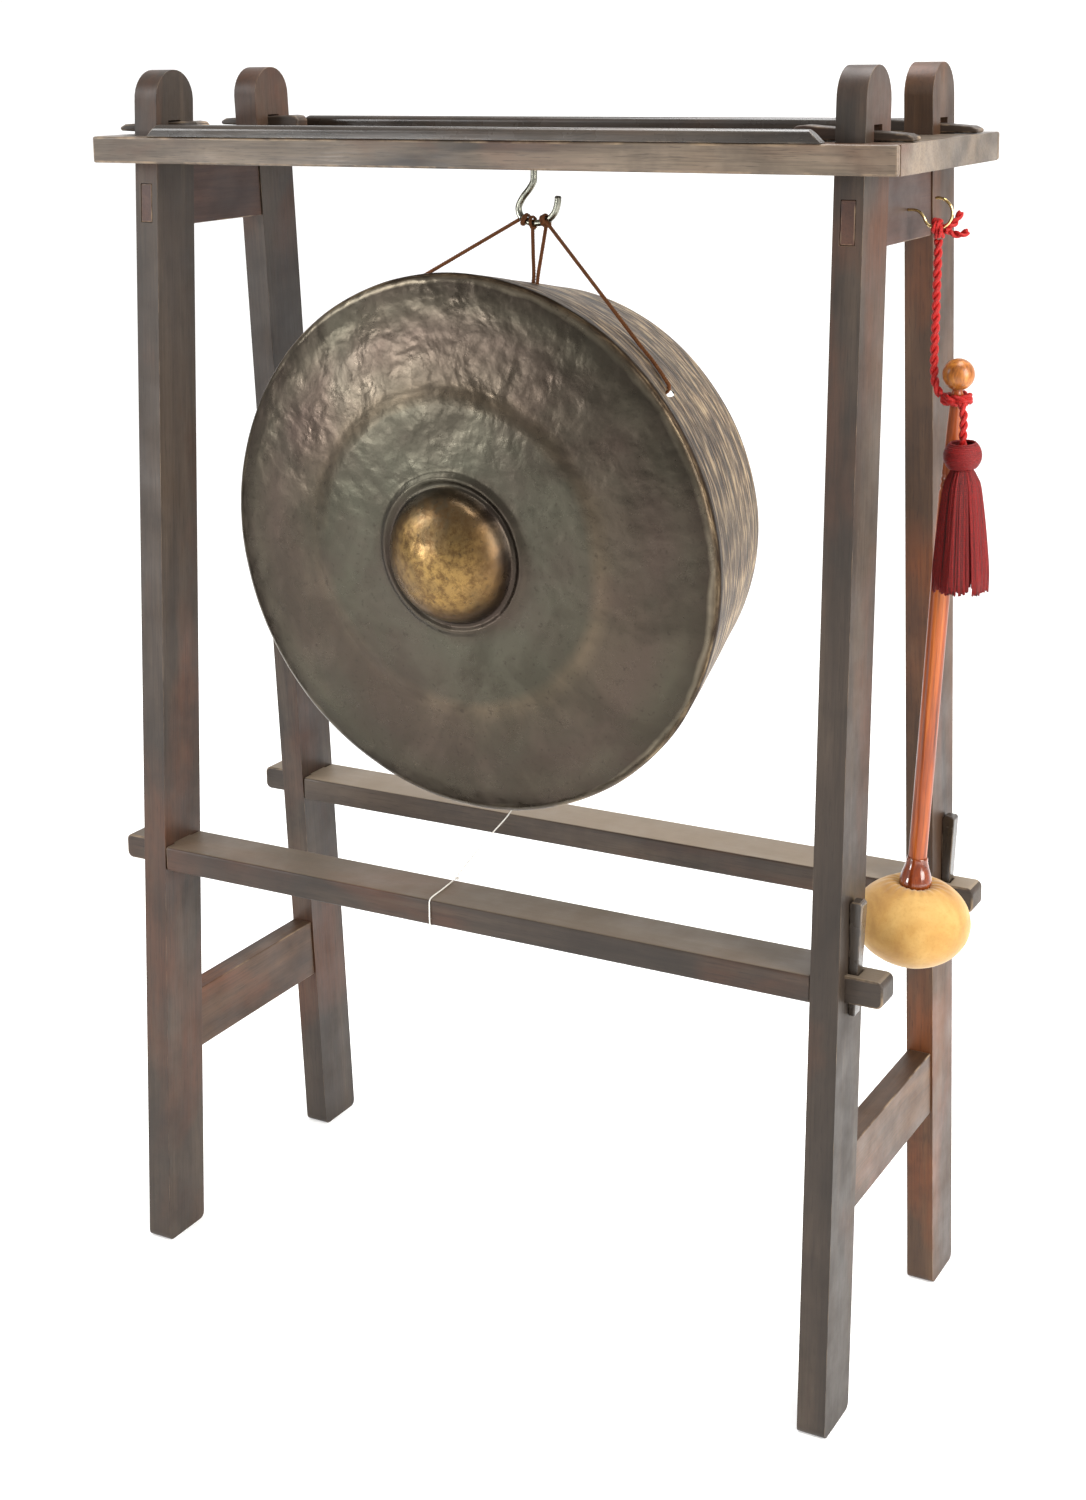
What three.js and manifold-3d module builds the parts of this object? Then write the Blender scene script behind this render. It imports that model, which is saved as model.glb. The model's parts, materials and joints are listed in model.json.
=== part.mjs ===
// A bossed bronze gong in a knock-down wooden trestle, with its mallet and tassel.
// Millimetres, +Z up, X along the stand, -Y the side that the gong faces.
// The origin is on the floor, under the middle of the whole object's box.
import * as THREE from 'three';
import { mergeVertices } from 'three/addons/utils/BufferGeometryUtils.js';
import Module from 'manifold-3d';

const wasm = await Module();
wasm.setup();

// ---- driving dimensions ----
const GAP = 0.3;                    // clearance between touching pieces
const STAND_HEIGHT = 1100;          // floor to the rounded tops of the legs

const LEG_X = 334;                  // middle of each leg along the stand
const LEG_WIDTH = 24.4;             // leg size along X
const LEG_DEPTH = 53;               // leg size along Y
const LEG_Y_FLOOR = 131.6;          // middle of each foot, from the stand's middle
const LEG_SPLAY = 0.054;            // how far a leg leans in for each mm of height
const FOOT_CORNER = 7;

const TOP_HALF_LENGTH = 379;
const TOP_HALF_DEPTH = 121.5;
const TOP_UNDERSIDE = 1019;
const TOP_THICKNESS = 23.3;
const TOP_FACE = TOP_UNDERSIDE + TOP_THICKNESS;
const EDGING = 6.5;                 // boards that close the front and back of the top
const LEDGE_HALF_LENGTH = 318;
const LEDGE_HEIGHT = 10.5;
const LEDGE_WIDTH = 11;

const APRON_BOTTOM = 961;
const APRON_THICKNESS = 22;
const APRON_REACH = 60;             // half-length of an apron's board, before the legs cut it
const APRON_TENON = { thick: 12, low: 966, high: 1000, near: 20, far: 130 };

const SIDE_RAIL = { low: 173, high: 231, thick: 21, reach: 110 };
const SIDE_TENON = { thick: 12, low: 184, high: 220, reach: 28, root: 20 };

const RAIL_TOP = 389;               // upper face of the two long rails
const RAIL_THICKNESS = 23;
const RAIL_WIDTH = 52;
const RAIL_TENON_WIDTH = 26;
const RAIL_TENON_REACH = 378;
const RAIL_ARRIS = 2.5;             // rounding along the rails' long edges
const RAIL_TENON_ARRIS = 6;         // rounding of their tenons' ends

const WEDGE = { low: 353, high: 449, width: 12, thickTop: 11, thickTip: 5.5, arris: 2 };
const WEDGE_SLOT_RUN_OUT = 20;      // how far the slot's cutter passes the wedge's ends
const PEG = { width: 17, innerLeft: 288, innerRight: 279, outer: 378, thick: 12, tip: 5 };
const PEG_LIFT = 3;                 // how far the left pegs' thin ends rise
const PEG_SLOT = PEG.thick + 1;     // height of the slot that a peg goes through

const HOOK_X = 5;                   // steel screw hook under the top
const HOOK_WIRE = 6;

const GONG = { x: -22, y: -86.5, z: 691.3, tilt: THREE.MathUtils.degToRad(3.35) };
const GONG_RADIUS = 239.8;
const GONG_BACK_RADIUS = 203.4;
const GONG_DEPTH = 168;
const GONG_WALL = 3.6;
const SHOULDER = 10;
const BOSS = { radius: 58, ring: 67, base: 20, height: 36 };
const CORD = 3.6;                   // brown suspension cords
const SIDE_HOLE = { angle: 52.3, depth: 39.3, radius: 5 };
const TOP_HOLE = { angle: 9, depth: 85, radius: 5.2 };
const THREAD_HOLE = { angle: 174, depth: 20, radius: 1.6 };

const BRASS = { y: -5, z: 984, ringX: 370, ringRadius: 12, wire: 2.4 };
const MALLET = { x: 359.8, y: -6.5, z: 395.9, lean: THREE.MathUtils.degToRad(3.78) };
const HEAD_RADIUS = 49;
const HEAD_HALF_HEIGHT = 37.2;
const HEAD_SKIN = 3;
const KNOB = { z: 462.8, radius: 12.8 };
const NECK = { z: 442.9, radius: 5, half: 5.5 };
const RED_CORD = 7.2;
const TASSEL_CORD = 6.8;
const TASSEL = { x: 402, y: -28, low: 688, neck: 787, top: 808.5 };

const THREAD = 1.2;
const THREAD_LOOP_X = -35;

// ---- materials ----
const material = (color, roughness, metalness) =>
  new THREE.MeshStandardMaterial({ color, roughness, metalness });
const darkWood = () => material(0x6b5a4e, 0.55, 0);
const bronze = () => material(0x5f574b, 0.42, 0.85);
const zinc = () => material(0xc9c8c0, 0.3, 0.95);
const brass = () => material(0xd8c07a, 0.25, 0.95);
const brownCord = () => material(0x5a3826, 0.8, 0);
const redCord = () => material(0xb81c22, 0.75, 0);
const whiteThread = () => material(0xf2f0ea, 0.7, 0);
const orangeWood = () => material(0xb0692f, 0.45, 0);
const lacquer = () => material(0x8c3a17, 0.2, 0);
const chamois = () => material(0xe2c48c, 0.9, 0);

// ---- solids ----
function solid(geometry) {
  const bare = geometry.clone();
  bare.deleteAttribute('normal');
  bare.deleteAttribute('uv');
  const merged = mergeVertices(bare, 1e-4);
  return new wasm.Manifold(new wasm.Mesh({
    numProp: 3,
    vertProperties: new Float32Array(merged.attributes.position.array),
    triVerts: new Uint32Array(merged.index.array),
  }));
}

function joined(geometries) {
  return geometries.map(solid).reduce((whole, piece) => whole.add(piece));
}

function without(whole, geometries) {
  return geometries.map(solid).reduce((rest, piece) => rest.subtract(piece), whole);
}

function mesh(name, body, look) {
  const data = body.getMesh();
  const geometry = new THREE.BufferGeometry();
  geometry.setAttribute('position', new THREE.BufferAttribute(data.vertProperties, 3));
  geometry.setIndex(new THREE.BufferAttribute(data.triVerts, 1));
  geometry.computeVertexNormals();
  const piece = new THREE.Mesh(geometry, look);
  piece.name = name;
  return piece;
}

function box(x0, x1, y0, y1, z0, z1) {
  const geometry = new THREE.BoxGeometry(x1 - x0, y1 - y0, z1 - z0);
  return geometry.translate((x0 + x1) / 2, (y0 + y1) / 2, (z0 + z1) / 2);
}

const X = new THREE.Vector3(1, 0, 0);
const Y = new THREE.Vector3(0, 1, 0);
const Z = new THREE.Vector3(0, 0, 1);
const straight = (depth, curveSegments) => ({ depth, bevelEnabled: false, curveSegments });

// A shape drawn in Y and Z, made solid from x0 to x1.
function alongX(shape, x0, x1, curveSegments = 6) {
  const geometry = new THREE.ExtrudeGeometry(shape, straight(x1 - x0, curveSegments));
  return geometry.applyMatrix4(new THREE.Matrix4().makeBasis(Y, Z, X)).translate(x0, 0, 0);
}

// A shape drawn in X and Z, made solid from y0 to y1.
function alongY(shape, y0, y1, curveSegments = 6) {
  const geometry = new THREE.ExtrudeGeometry(shape, straight(y1 - y0, curveSegments));
  const turn = new THREE.Matrix4().makeBasis(X, Z, Y.clone().negate());
  return geometry.applyMatrix4(turn).translate(0, y1, 0);
}

function polygon(points) {
  return new THREE.Shape(points.map(([u, v]) => new THREE.Vector2(u, v)));
}

function roundedRect(u0, u1, v0, v1, r) {
  const shape = new THREE.Shape();
  shape.moveTo(u0 + r, v0);
  shape.lineTo(u1 - r, v0);
  shape.absarc(u1 - r, v0 + r, r, -Math.PI / 2, 0, false);
  shape.lineTo(u1, v1 - r);
  shape.absarc(u1 - r, v1 - r, r, 0, Math.PI / 2, false);
  shape.lineTo(u0 + r, v1);
  shape.absarc(u0 + r, v1 - r, r, Math.PI / 2, Math.PI, false);
  shape.lineTo(u0, v0 + r);
  shape.absarc(u0 + r, v0 + r, r, Math.PI, Math.PI * 1.5, false);
  return shape;
}

function circle(radius, sides) {
  const corners = Array.from({ length: sides }, (_, i) => {
    const turn = (i / sides) * 2 * Math.PI;
    return [radius * Math.cos(turn), radius * Math.sin(turn)];
  });
  return polygon(corners);
}

// A round bar along a smooth curve through the points.
function bar(points, diameter, steps, sides = 8) {
  const path = new THREE.CatmullRomCurve3(points, false, 'centripetal');
  const section = circle(diameter / 2, sides);
  return new THREE.ExtrudeGeometry(section, { steps, bevelEnabled: false, extrudePath: path });
}

// A turned piece about Z: [radius, height] pairs from the lower end to the upper one.
function turned(profile, segments = 24) {
  const points = profile.map(([r, z]) => new THREE.Vector2(r, z));
  return new THREE.LatheGeometry(points, segments).rotateX(Math.PI / 2);
}

// A turned ring about Z: a closed outline of [radius, height] pairs, anticlockwise.
function turnedRing(outline, segments = 24) {
  return turned([...outline, outline[0]], segments);
}

// The hole for a round pin on the turning axis.
function bore(radius, low, high) {
  return turned([[0, low], [radius, low], [radius, high], [0, high]], 16);
}

const sides = [['left', -1], ['right', 1]];
const rows = [['front', -1], ['back', 1]];
const stand = new THREE.Group();

// ---- legs ----
const legMiddle = (row, z) => row * (LEG_Y_FLOOR - LEG_SPLAY * z);

function legOutline(row, grow = 0) {
  const half = LEG_DEPTH / 2 + grow;
  const shape = new THREE.Shape();
  const crown = STAND_HEIGHT - LEG_DEPTH / 2;
  shape.moveTo(legMiddle(row, 0) - half + FOOT_CORNER, 0);
  shape.lineTo(legMiddle(row, 0) + half - FOOT_CORNER, 0);
  shape.quadraticCurveTo(legMiddle(row, 0) + half, 0, legMiddle(row, FOOT_CORNER) + half, FOOT_CORNER);
  shape.lineTo(legMiddle(row, crown) + half, crown);
  shape.absarc(legMiddle(row, crown), crown, half, 0, Math.PI, false);
  shape.lineTo(legMiddle(row, FOOT_CORNER) - half, FOOT_CORNER);
  shape.quadraticCurveTo(legMiddle(row, 0) - half, 0, legMiddle(row, 0) - half + FOOT_CORNER, 0);
  return shape;
}

function legSolid(side, row, grow = 0) {
  const half = LEG_WIDTH / 2 + grow;
  return alongX(legOutline(row, grow), side * LEG_X - half, side * LEG_X + half, 8);
}

const railMiddleZ = RAIL_TOP - RAIL_THICKNESS / 2;
const railY = (row) => legMiddle(row, railMiddleZ);

function apronTenonBox(side, row, grow = 0) {
  const half = APRON_TENON.thick / 2 + grow;
  const far = row * APRON_TENON.far;
  const near = row * APRON_TENON.near;
  return box(side * LEG_X - half, side * LEG_X + half, Math.min(near, far), Math.max(near, far),
    APRON_TENON.low - grow, APRON_TENON.high + grow);
}

function sideTenonBox(side, row, grow = 0) {
  const half = SIDE_TENON.thick / 2 + grow;
  const inner = Math.abs(legMiddle(1, SIDE_TENON.high)) - LEG_DEPTH / 2;
  const near = row * (inner - SIDE_TENON.root);
  const far = row * (inner + SIDE_TENON.reach + grow);
  return box(side * LEG_X - half, side * LEG_X + half, Math.min(near, far), Math.max(near, far),
    SIDE_TENON.low - grow, SIDE_TENON.high + grow);
}

function leg(side, row) {
  const reach = LEG_WIDTH;
  const x0 = side * LEG_X - reach;
  const x1 = side * LEG_X + reach;
  const tenonHalf = RAIL_TENON_WIDTH / 2 + GAP;
  const pegHalf = PEG.width / 2 + GAP;
  const pegY = legMiddle(row, TOP_FACE);
  return without(solid(legSolid(side, row)), [
    apronTenonBox(side, row, GAP),
    sideTenonBox(side, row, GAP),
    box(x0, x1, railY(row) - tenonHalf, railY(row) + tenonHalf,
      RAIL_TOP - RAIL_THICKNESS - GAP, RAIL_TOP + GAP),
    box(x0, x1, pegY - pegHalf, pegY + pegHalf, TOP_FACE, TOP_FACE + PEG_SLOT),
  ]);
}

for (const [sideName, side] of sides) {
  for (const [rowName, row] of rows) {
    stand.add(mesh(`leg_${rowName}_${sideName}`, leg(side, row), darkWood()));
  }
}

// ---- top board, its edgings and its raised ledges ----
const hookHole = new THREE.CylinderGeometry(HOOK_WIRE / 2 + GAP, HOOK_WIRE / 2 + GAP, 40, 12)
  .rotateX(Math.PI / 2).translate(HOOK_X, 0, TOP_UNDERSIDE - 5);
const panelHalfDepth = TOP_HALF_DEPTH - EDGING - GAP;
const fingers = sides.flatMap(([, side]) => rows.map(([, row]) => legSolid(side, row, GAP)));
const panel = without(solid(box(-TOP_HALF_LENGTH, TOP_HALF_LENGTH, -panelHalfDepth, panelHalfDepth,
  TOP_UNDERSIDE, TOP_FACE)), [...fingers, hookHole]);
stand.add(mesh('top_panel', panel, darkWood()));

function edging(row) {
  const outer = row * TOP_HALF_DEPTH;
  const inner = row * (TOP_HALF_DEPTH - EDGING);
  return solid(box(-TOP_HALF_LENGTH, TOP_HALF_LENGTH, Math.min(outer, inner), Math.max(outer, inner),
    TOP_UNDERSIDE, TOP_FACE));
}

// A ledge has a half-round top and ends that slope at 45 degrees.
function ledge(row) {
  const low = TOP_FACE + GAP;
  const high = low + LEDGE_HEIGHT;
  const half = LEDGE_WIDTH / 2;
  const middle = row * (TOP_HALF_DEPTH - half);
  const section = new THREE.Shape();
  section.moveTo(middle - half, low);
  section.lineTo(middle + half, low);
  section.lineTo(middle + half, high - half);
  section.absarc(middle, high - half, half, 0, Math.PI, false);
  const end = LEDGE_HALF_LENGTH;
  const slope = LEDGE_HEIGHT;
  const profile = polygon([[-end, low], [end, low], [end - slope, high], [-end + slope, high]]);
  const rod = solid(alongX(section, -end, end, 8));
  return rod.intersect(solid(alongY(profile, middle - 2 * half, middle + 2 * half)));
}

for (const [rowName, row] of rows) {
  stand.add(mesh(`${rowName}_edging`, edging(row), darkWood()));
  stand.add(mesh(`${rowName}_ledge_strip`, ledge(row), darkWood()));
}

// ---- aprons under the top and rails near the floor, at each side ----
function crossBoard(side, low, high, thick, reach, tenons) {
  const x = side * LEG_X;
  const board = solid(box(x - thick / 2, x + thick / 2, -reach, reach, low, high));
  const legs = rows.map(([, row]) => legSolid(side, row, GAP));
  return tenons.reduce((whole, tenon) => whole.add(tenon), without(board, legs));
}

for (const [sideName, side] of sides) {
  const betweenLegs = solid(box(side * LEG_X - LEG_WIDTH, side * LEG_X + LEG_WIDTH,
    -APRON_REACH, APRON_REACH, APRON_BOTTOM, TOP_UNDERSIDE));
  const throughTenons = rows.map(([, row]) =>
    solid(apronTenonBox(side, row)).intersect(solid(legSolid(side, row)).add(betweenLegs)));
  stand.add(mesh(`${sideName}_apron`, crossBoard(side, APRON_BOTTOM, TOP_UNDERSIDE - GAP,
    APRON_THICKNESS, APRON_REACH, throughTenons), darkWood()));
  const blindTenons = rows.map(([, row]) => solid(sideTenonBox(side, row)));
  stand.add(mesh(`${sideName}_side_rail`, crossBoard(side, SIDE_RAIL.low, SIDE_RAIL.high,
    SIDE_RAIL.thick, SIDE_RAIL.reach, blindTenons), darkWood()));
}

// ---- long rails with through tenons, held by tusk wedges at the right ----
const railShoulder = LEG_X - LEG_WIDTH / 2 - GAP;
const wedgeInner = LEG_X + LEG_WIDTH / 2 + GAP;

function wedgeOutline(grow = 0) {
  const lean = (WEDGE.thickTop - WEDGE.thickTip) / (WEDGE.high - WEDGE.low);
  const outer = (z) => wedgeInner + WEDGE.thickTip + lean * (z - WEDGE.low) + grow;
  const runOut = grow ? WEDGE_SLOT_RUN_OUT : 0;
  const low = WEDGE.low - runOut;
  const high = WEDGE.high + runOut;
  const inner = wedgeInner - grow;
  const { arris } = WEDGE;
  return polygon([[inner, low], [outer(low), low], [outer(high), high - arris],
    [outer(high) - arris, high], [inner + arris, high], [inner, high - arris]]);
}

function wedgeSolid(row, grow = 0) {
  const half = WEDGE.width / 2 + grow;
  return alongY(wedgeOutline(grow), railY(row) - half, railY(row) + half);
}

function longRail(row) {
  const low = RAIL_TOP - RAIL_THICKNESS;
  const middle = railY(row);
  const half = RAIL_WIDTH / 2;
  const body = roundedRect(middle - half, middle + half, low, RAIL_TOP, RAIL_ARRIS);
  const tongue = roundedRect(-RAIL_TENON_REACH, RAIL_TENON_REACH, low, RAIL_TOP, RAIL_TENON_ARRIS);
  const tongueHalf = RAIL_TENON_WIDTH / 2;
  const whole = joined([
    alongX(body, -railShoulder, railShoulder, 3),
    alongY(tongue, middle - tongueHalf, middle + tongueHalf, 5),
  ]);
  return without(whole, [wedgeSolid(row, GAP)]);
}

for (const [rowName, row] of rows) {
  stand.add(mesh(`${rowName}_long_rail`, longRail(row), darkWood()));
  stand.add(mesh(`${rowName}_tusk_wedge`, solid(wedgeSolid(row)), darkWood()));
}

// ---- tapered pegs through the legs above the top; tipLift raises the thin outer end ----
function peg(side, row, tipLift) {
  const low = TOP_FACE + 2 * GAP;
  const tipLow = low + tipLift;
  const inner = side < 0 ? PEG.innerLeft : PEG.innerRight;
  const outline = polygon([
    [inner, low], [inner, low + PEG.thick - 4], [inner + 3, low + PEG.thick - 0.7],
    [inner + 10, low + PEG.thick], [PEG.outer - 6, tipLow + PEG.tip + 0.8],
    [PEG.outer, tipLow + PEG.tip - 2], [PEG.outer - 1, tipLow],
    [LEG_X + LEG_WIDTH / 2, low + tipLift / 2],
  ].map(([x, z]) => [side * x, z]));
  const middle = legMiddle(row, TOP_FACE);
  return solid(alongY(outline, middle - PEG.width / 2, middle + PEG.width / 2));
}

for (const [sideName, side] of sides) {
  for (const [rowName, row] of rows) {
    const tipLift = side < 0 ? PEG_LIFT : 0;
    stand.add(mesh(`${rowName}_${sideName}_peg`, peg(side, row, tipLift), darkWood()));
  }
}

// ---- steel screw hook under the top ----
const hookPoint = (dx, z) => new THREE.Vector3(HOOK_X + dx, 0, z);
const hookPath = [
  hookPoint(0, TOP_UNDERSIDE + 12), hookPoint(0, 1008), hookPoint(-0.5, 1002), hookPoint(-4.5, 995.5),
  hookPoint(-11, 988), hookPoint(-15.5, 979), hookPoint(-13, 971), hookPoint(-5, 966.8),
  hookPoint(4, 966.3), hookPoint(13, 969), hookPoint(20, 975.5), hookPoint(23, 984), hookPoint(23.5, 990),
];
stand.add(mesh('gong_screw_hook', solid(bar(hookPath, HOOK_WIRE, 30, 8)), zinc()));

// ---- gong: a shell turned about its own axis, facing -Y ----
// Profile pairs are [radius, forward], forward from the plane of the face's rim.
function gongProfile() {
  const outer = [];
  const domeSteps = 6;
  for (let i = 0; i <= domeSteps; i += 1) {
    const turn = (i / domeSteps) * THREE.MathUtils.degToRad(82);
    outer.push([BOSS.radius * Math.sin(turn), BOSS.base + BOSS.height * Math.cos(turn)]);
  }
  outer.push([60.5, 21], [BOSS.ring, 19.6], [71, 17.6], [136, 14.5], [143, 11.4], [194, 5.8],
    [222, 1.8]);
  const shoulderSteps = 4;
  for (let i = 0; i <= shoulderSteps; i += 1) {
    const turn = (0.15 + 0.85 * (i / shoulderSteps)) * (Math.PI / 2);
    const reach = GONG_RADIUS - SHOULDER + SHOULDER * Math.sin(turn);
    outer.push([reach, -SHOULDER + SHOULDER * Math.cos(turn)]);
  }
  outer.push([GONG_BACK_RADIUS, -GONG_DEPTH]);
  const inner = [
    [GONG_BACK_RADIUS - GONG_WALL, -GONG_DEPTH], [GONG_RADIUS - GONG_WALL - 0.6, -SHOULDER - 2],
    [GONG_RADIUS - 7, -6], [GONG_RADIUS - 13, -GONG_WALL], [194, 2], [142, 7.6], [135, 10.8],
    [72, 13.8], [63.5, 15], [56, 18], [51, 30], [38, 43], [20, 50],
    [0, BOSS.base + BOSS.height - GONG_WALL],
  ];
  return [...outer, ...inner];
}

const rimRadius = (depth) =>
  GONG_RADIUS - ((GONG_RADIUS - GONG_BACK_RADIUS) * (depth - SHOULDER)) / (GONG_DEPTH - SHOULDER);

// A place on the rim: angle from the top towards +X, depth behind the face, lift off the metal.
function rimPoint(angle, depth, lift) {
  const turn = THREE.MathUtils.degToRad(angle);
  const reach = rimRadius(depth) + lift;
  return new THREE.Vector3(reach * Math.sin(turn), depth, reach * Math.cos(turn));
}

const gongPlace = new THREE.Matrix4().makeRotationX(GONG.tilt)
  .setPosition(GONG.x, GONG.y, GONG.z);
const onRim = (angle, depth, lift) => rimPoint(angle, depth, lift).applyMatrix4(gongPlace);

function rimHole({ angle, depth, radius }) {
  const drill = new THREE.CylinderGeometry(radius, radius, 30, 12);
  const turn = THREE.MathUtils.degToRad(angle);
  const middle = rimPoint(angle, depth, -GONG_WALL / 2);
  return drill.rotateX(Math.PI / 2).rotateY(turn).translate(middle.x, middle.y, middle.z);
}

const shell = new THREE.LatheGeometry(
  gongProfile().reverse().map(([r, f]) => new THREE.Vector2(r, f)), 52).rotateX(Math.PI);
const holes = [
  SIDE_HOLE, { ...SIDE_HOLE, angle: -SIDE_HOLE.angle }, TOP_HOLE, THREAD_HOLE,
].map(rimHole);
const gong = mesh('gong', without(solid(shell), holes), bronze());
gong.applyMatrix4(gongPlace);
stand.add(gong);

// ---- brown cords: from the hook to the rim's side holes, and to the hole at its top ----
const wireAt = {
  left: new THREE.Vector3(HOOK_X - 9, 0, 968.6),
  right: new THREE.Vector3(HOOK_X + 10, 0, 967.9),
};
const hitchBore = HOOK_WIRE / 2 + 2 * GAP;
const hitch = turnedRing([
  [hitchBore, -4], [6.2, -4], [7.2, -2.5], [7.2, 2.5], [6.2, 4], [hitchBore, 4],
], 16);
const hitchLean = { left: 118, right: 68 };
for (const [sideName] of sides) {
  const lean = THREE.MathUtils.degToRad(hitchLean[sideName]);
  const ring = hitch.clone().rotateY(lean);
  const at = wireAt[sideName];
  stand.add(mesh(`hook_hitch_${sideName}`, solid(ring.translate(at.x, at.y, at.z)), brownCord()));
}

const between = (a, b, t) => a.clone().lerp(b, t);
const RIDE = CORD / 2 + 0.4;        // a cord's middle above the metal that it lies on

function sideCordPath(side) {
  const start = side < 0 ? hookPoint(-17.5, 965.5) : hookPoint(17.5, 963.8);
  start.y = -3;
  const lying = side < 0
    ? [[30, 62], [36, 56], [42, 49.5], [47, 43.5], [49.8, 40.4]]
    : [[41, 53], [44.5, 48.5], [47.5, 44], [49, 41.6], [50, 40.4]];
  const [touch, ...rest] = lying.map(([angle, depth]) => onRim(side * angle, depth, RIDE));
  return [
    start, between(start, touch, 0.33), between(start, touch, 0.66), touch, ...rest,
    onRim(side * 51.3, 39.3, RIDE - 0.3), onRim(side * 52.3, 39.2, -0.6), onRim(side * 52.7, 39, -4.5),
    onRim(side * 52.8, 39, -8.5),
  ];
}

function topCordPath(side) {
  const start = new THREE.Vector3(HOOK_X + (side < 0 ? -1.5 : 12), 1, 959.2);
  const spread = side * (CORD / 2 + 0.25);
  const aside = new THREE.Vector3(spread, 0, 0);
  const through = (lift) => onRim(TOP_HOLE.angle, TOP_HOLE.depth, lift).add(aside);
  const mouth = through(6);
  return [start, between(start, mouth, 0.5), mouth, through(0), through(-6), through(-9)];
}

for (const [sideName, side] of sides) {
  stand.add(mesh(`side_cord_${sideName}`, solid(bar(sideCordPath(side), CORD, 30)), brownCord()));
  stand.add(mesh(`top_cord_${sideName}`, solid(bar(topCordPath(side), CORD, 12)), brownCord()));
}

// Stopper knots inside the rim.
function knot(radius, height) {
  const cut = radius * 0.62;
  const half = height / 2;
  const belly = half * 0.35;
  return turned([
    [0, -half], [cut, -half], [radius, -belly], [radius, belly], [cut, half], [0, half],
  ], 12);
}

function stopperKnot(name, angle, depth, lift, radius, height, look) {
  const turn = THREE.MathUtils.degToRad(angle);
  const at = rimPoint(angle, depth, lift);
  const body = knot(radius, height).rotateY(turn).translate(at.x, at.y, at.z);
  const piece = mesh(name, solid(body), look);
  piece.applyMatrix4(gongPlace);
  return piece;
}

for (const [sideName, side] of sides) {
  stand.add(stopperKnot(`rim_knot_${sideName}`, side * 52.8, SIDE_HOLE.depth, -13.7, 5.6, 9, brownCord()));
}
stand.add(stopperKnot('rim_knot_top', TOP_HOLE.angle, TOP_HOLE.depth, -14.4, 6.4, 9.6, brownCord()));

// ---- white thread that steadies the gong: a span to the front rail and a turn round it ----
const loopLow = RAIL_TOP - RAIL_THICKNESS;
const railFront = railY(-1) - RAIL_WIDTH / 2;
const railBack = railY(-1) + RAIL_WIDTH / 2;
const off = THREAD / 2 + 0.5;
const threadPoint = (dx, y, z) => new THREE.Vector3(THREAD_LOOP_X + dx, y, z);
const threadLoop = [
  threadPoint(-2, railBack - 6, RAIL_TOP + off), threadPoint(0, railBack - 26, RAIL_TOP + off),
  threadPoint(1.8, railFront + 4, RAIL_TOP + off), threadPoint(2.1, railFront + 1, RAIL_TOP + off - 0.7),
  threadPoint(2.3, railFront - off + 0.7, RAIL_TOP - 1), threadPoint(2.5, railFront - off, RAIL_TOP - 4),
  threadPoint(2.5, railFront - off, loopLow + 4), threadPoint(2.4, railFront - off + 0.7, loopLow + 1),
  threadPoint(2.2, railFront + 1, loopLow - off + 0.7), threadPoint(2, railFront + 4, loopLow - off),
  threadPoint(-1, railBack - 4, loopLow - off), threadPoint(-1.3, railBack - 1, loopLow - off + 0.7),
  threadPoint(-1.6, railBack + off - 0.7, loopLow + 1), threadPoint(-1.8, railBack + off, loopLow + 4),
  threadPoint(-2.2, railBack + off, RAIL_TOP - 5),
];
stand.add(mesh('tether_loop', solid(bar(threadLoop, THREAD, 56)), whiteThread()));
const tetherKnotAt = threadPoint(-2.6, railBack + 1.4, RAIL_TOP + 0.8);
const tetherKnot = knot(2, 3.6).translate(tetherKnotAt.x, tetherKnotAt.y, tetherKnotAt.z);
stand.add(mesh('tether_knot', solid(tetherKnot), whiteThread()));
const spanTop = onRim(THREAD_HOLE.angle, THREAD_HOLE.depth, -GONG_WALL - 2);
const spanFoot = tetherKnotAt.clone().add(new THREE.Vector3(0.6, 0.3, 2.6));
const rimExit = onRim(THREAD_HOLE.angle, THREAD_HOLE.depth, 4);
const span = bar([spanTop, rimExit, between(rimExit, spanFoot, 0.5), spanFoot], THREAD, 24);
stand.add(mesh('tether_thread', solid(span), whiteThread()));
stand.add(stopperKnot('tether_stop', THREAD_HOLE.angle, THREAD_HOLE.depth, -GONG_WALL - 4.4,
  2.6, 4, whiteThread()));

// ---- brass cup hook on the right apron ----
function ringPoint(angle) {
  const turn = THREE.MathUtils.degToRad(angle);
  return new THREE.Vector3(BRASS.ringX + BRASS.ringRadius * Math.cos(turn), BRASS.y,
    BRASS.z + BRASS.ringRadius * Math.sin(turn));
}
const apronFace = LEG_X + APRON_THICKNESS / 2;
const shankPoint = (x, dz) => new THREE.Vector3(x, BRASS.y, BRASS.z + dz);
const brassPath = [
  shankPoint(apronFace + GAP, 2), shankPoint(apronFace + 6, 2), shankPoint(apronFace + 10, 0.6),
  ...[195, 220, 245, 270, 295, 320, 345, 10, 35, 60, 85, 102].map(ringPoint),
];
stand.add(mesh('brass_hook', solid(bar(brassPath, BRASS.wire, 38)), brass()));

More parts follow.
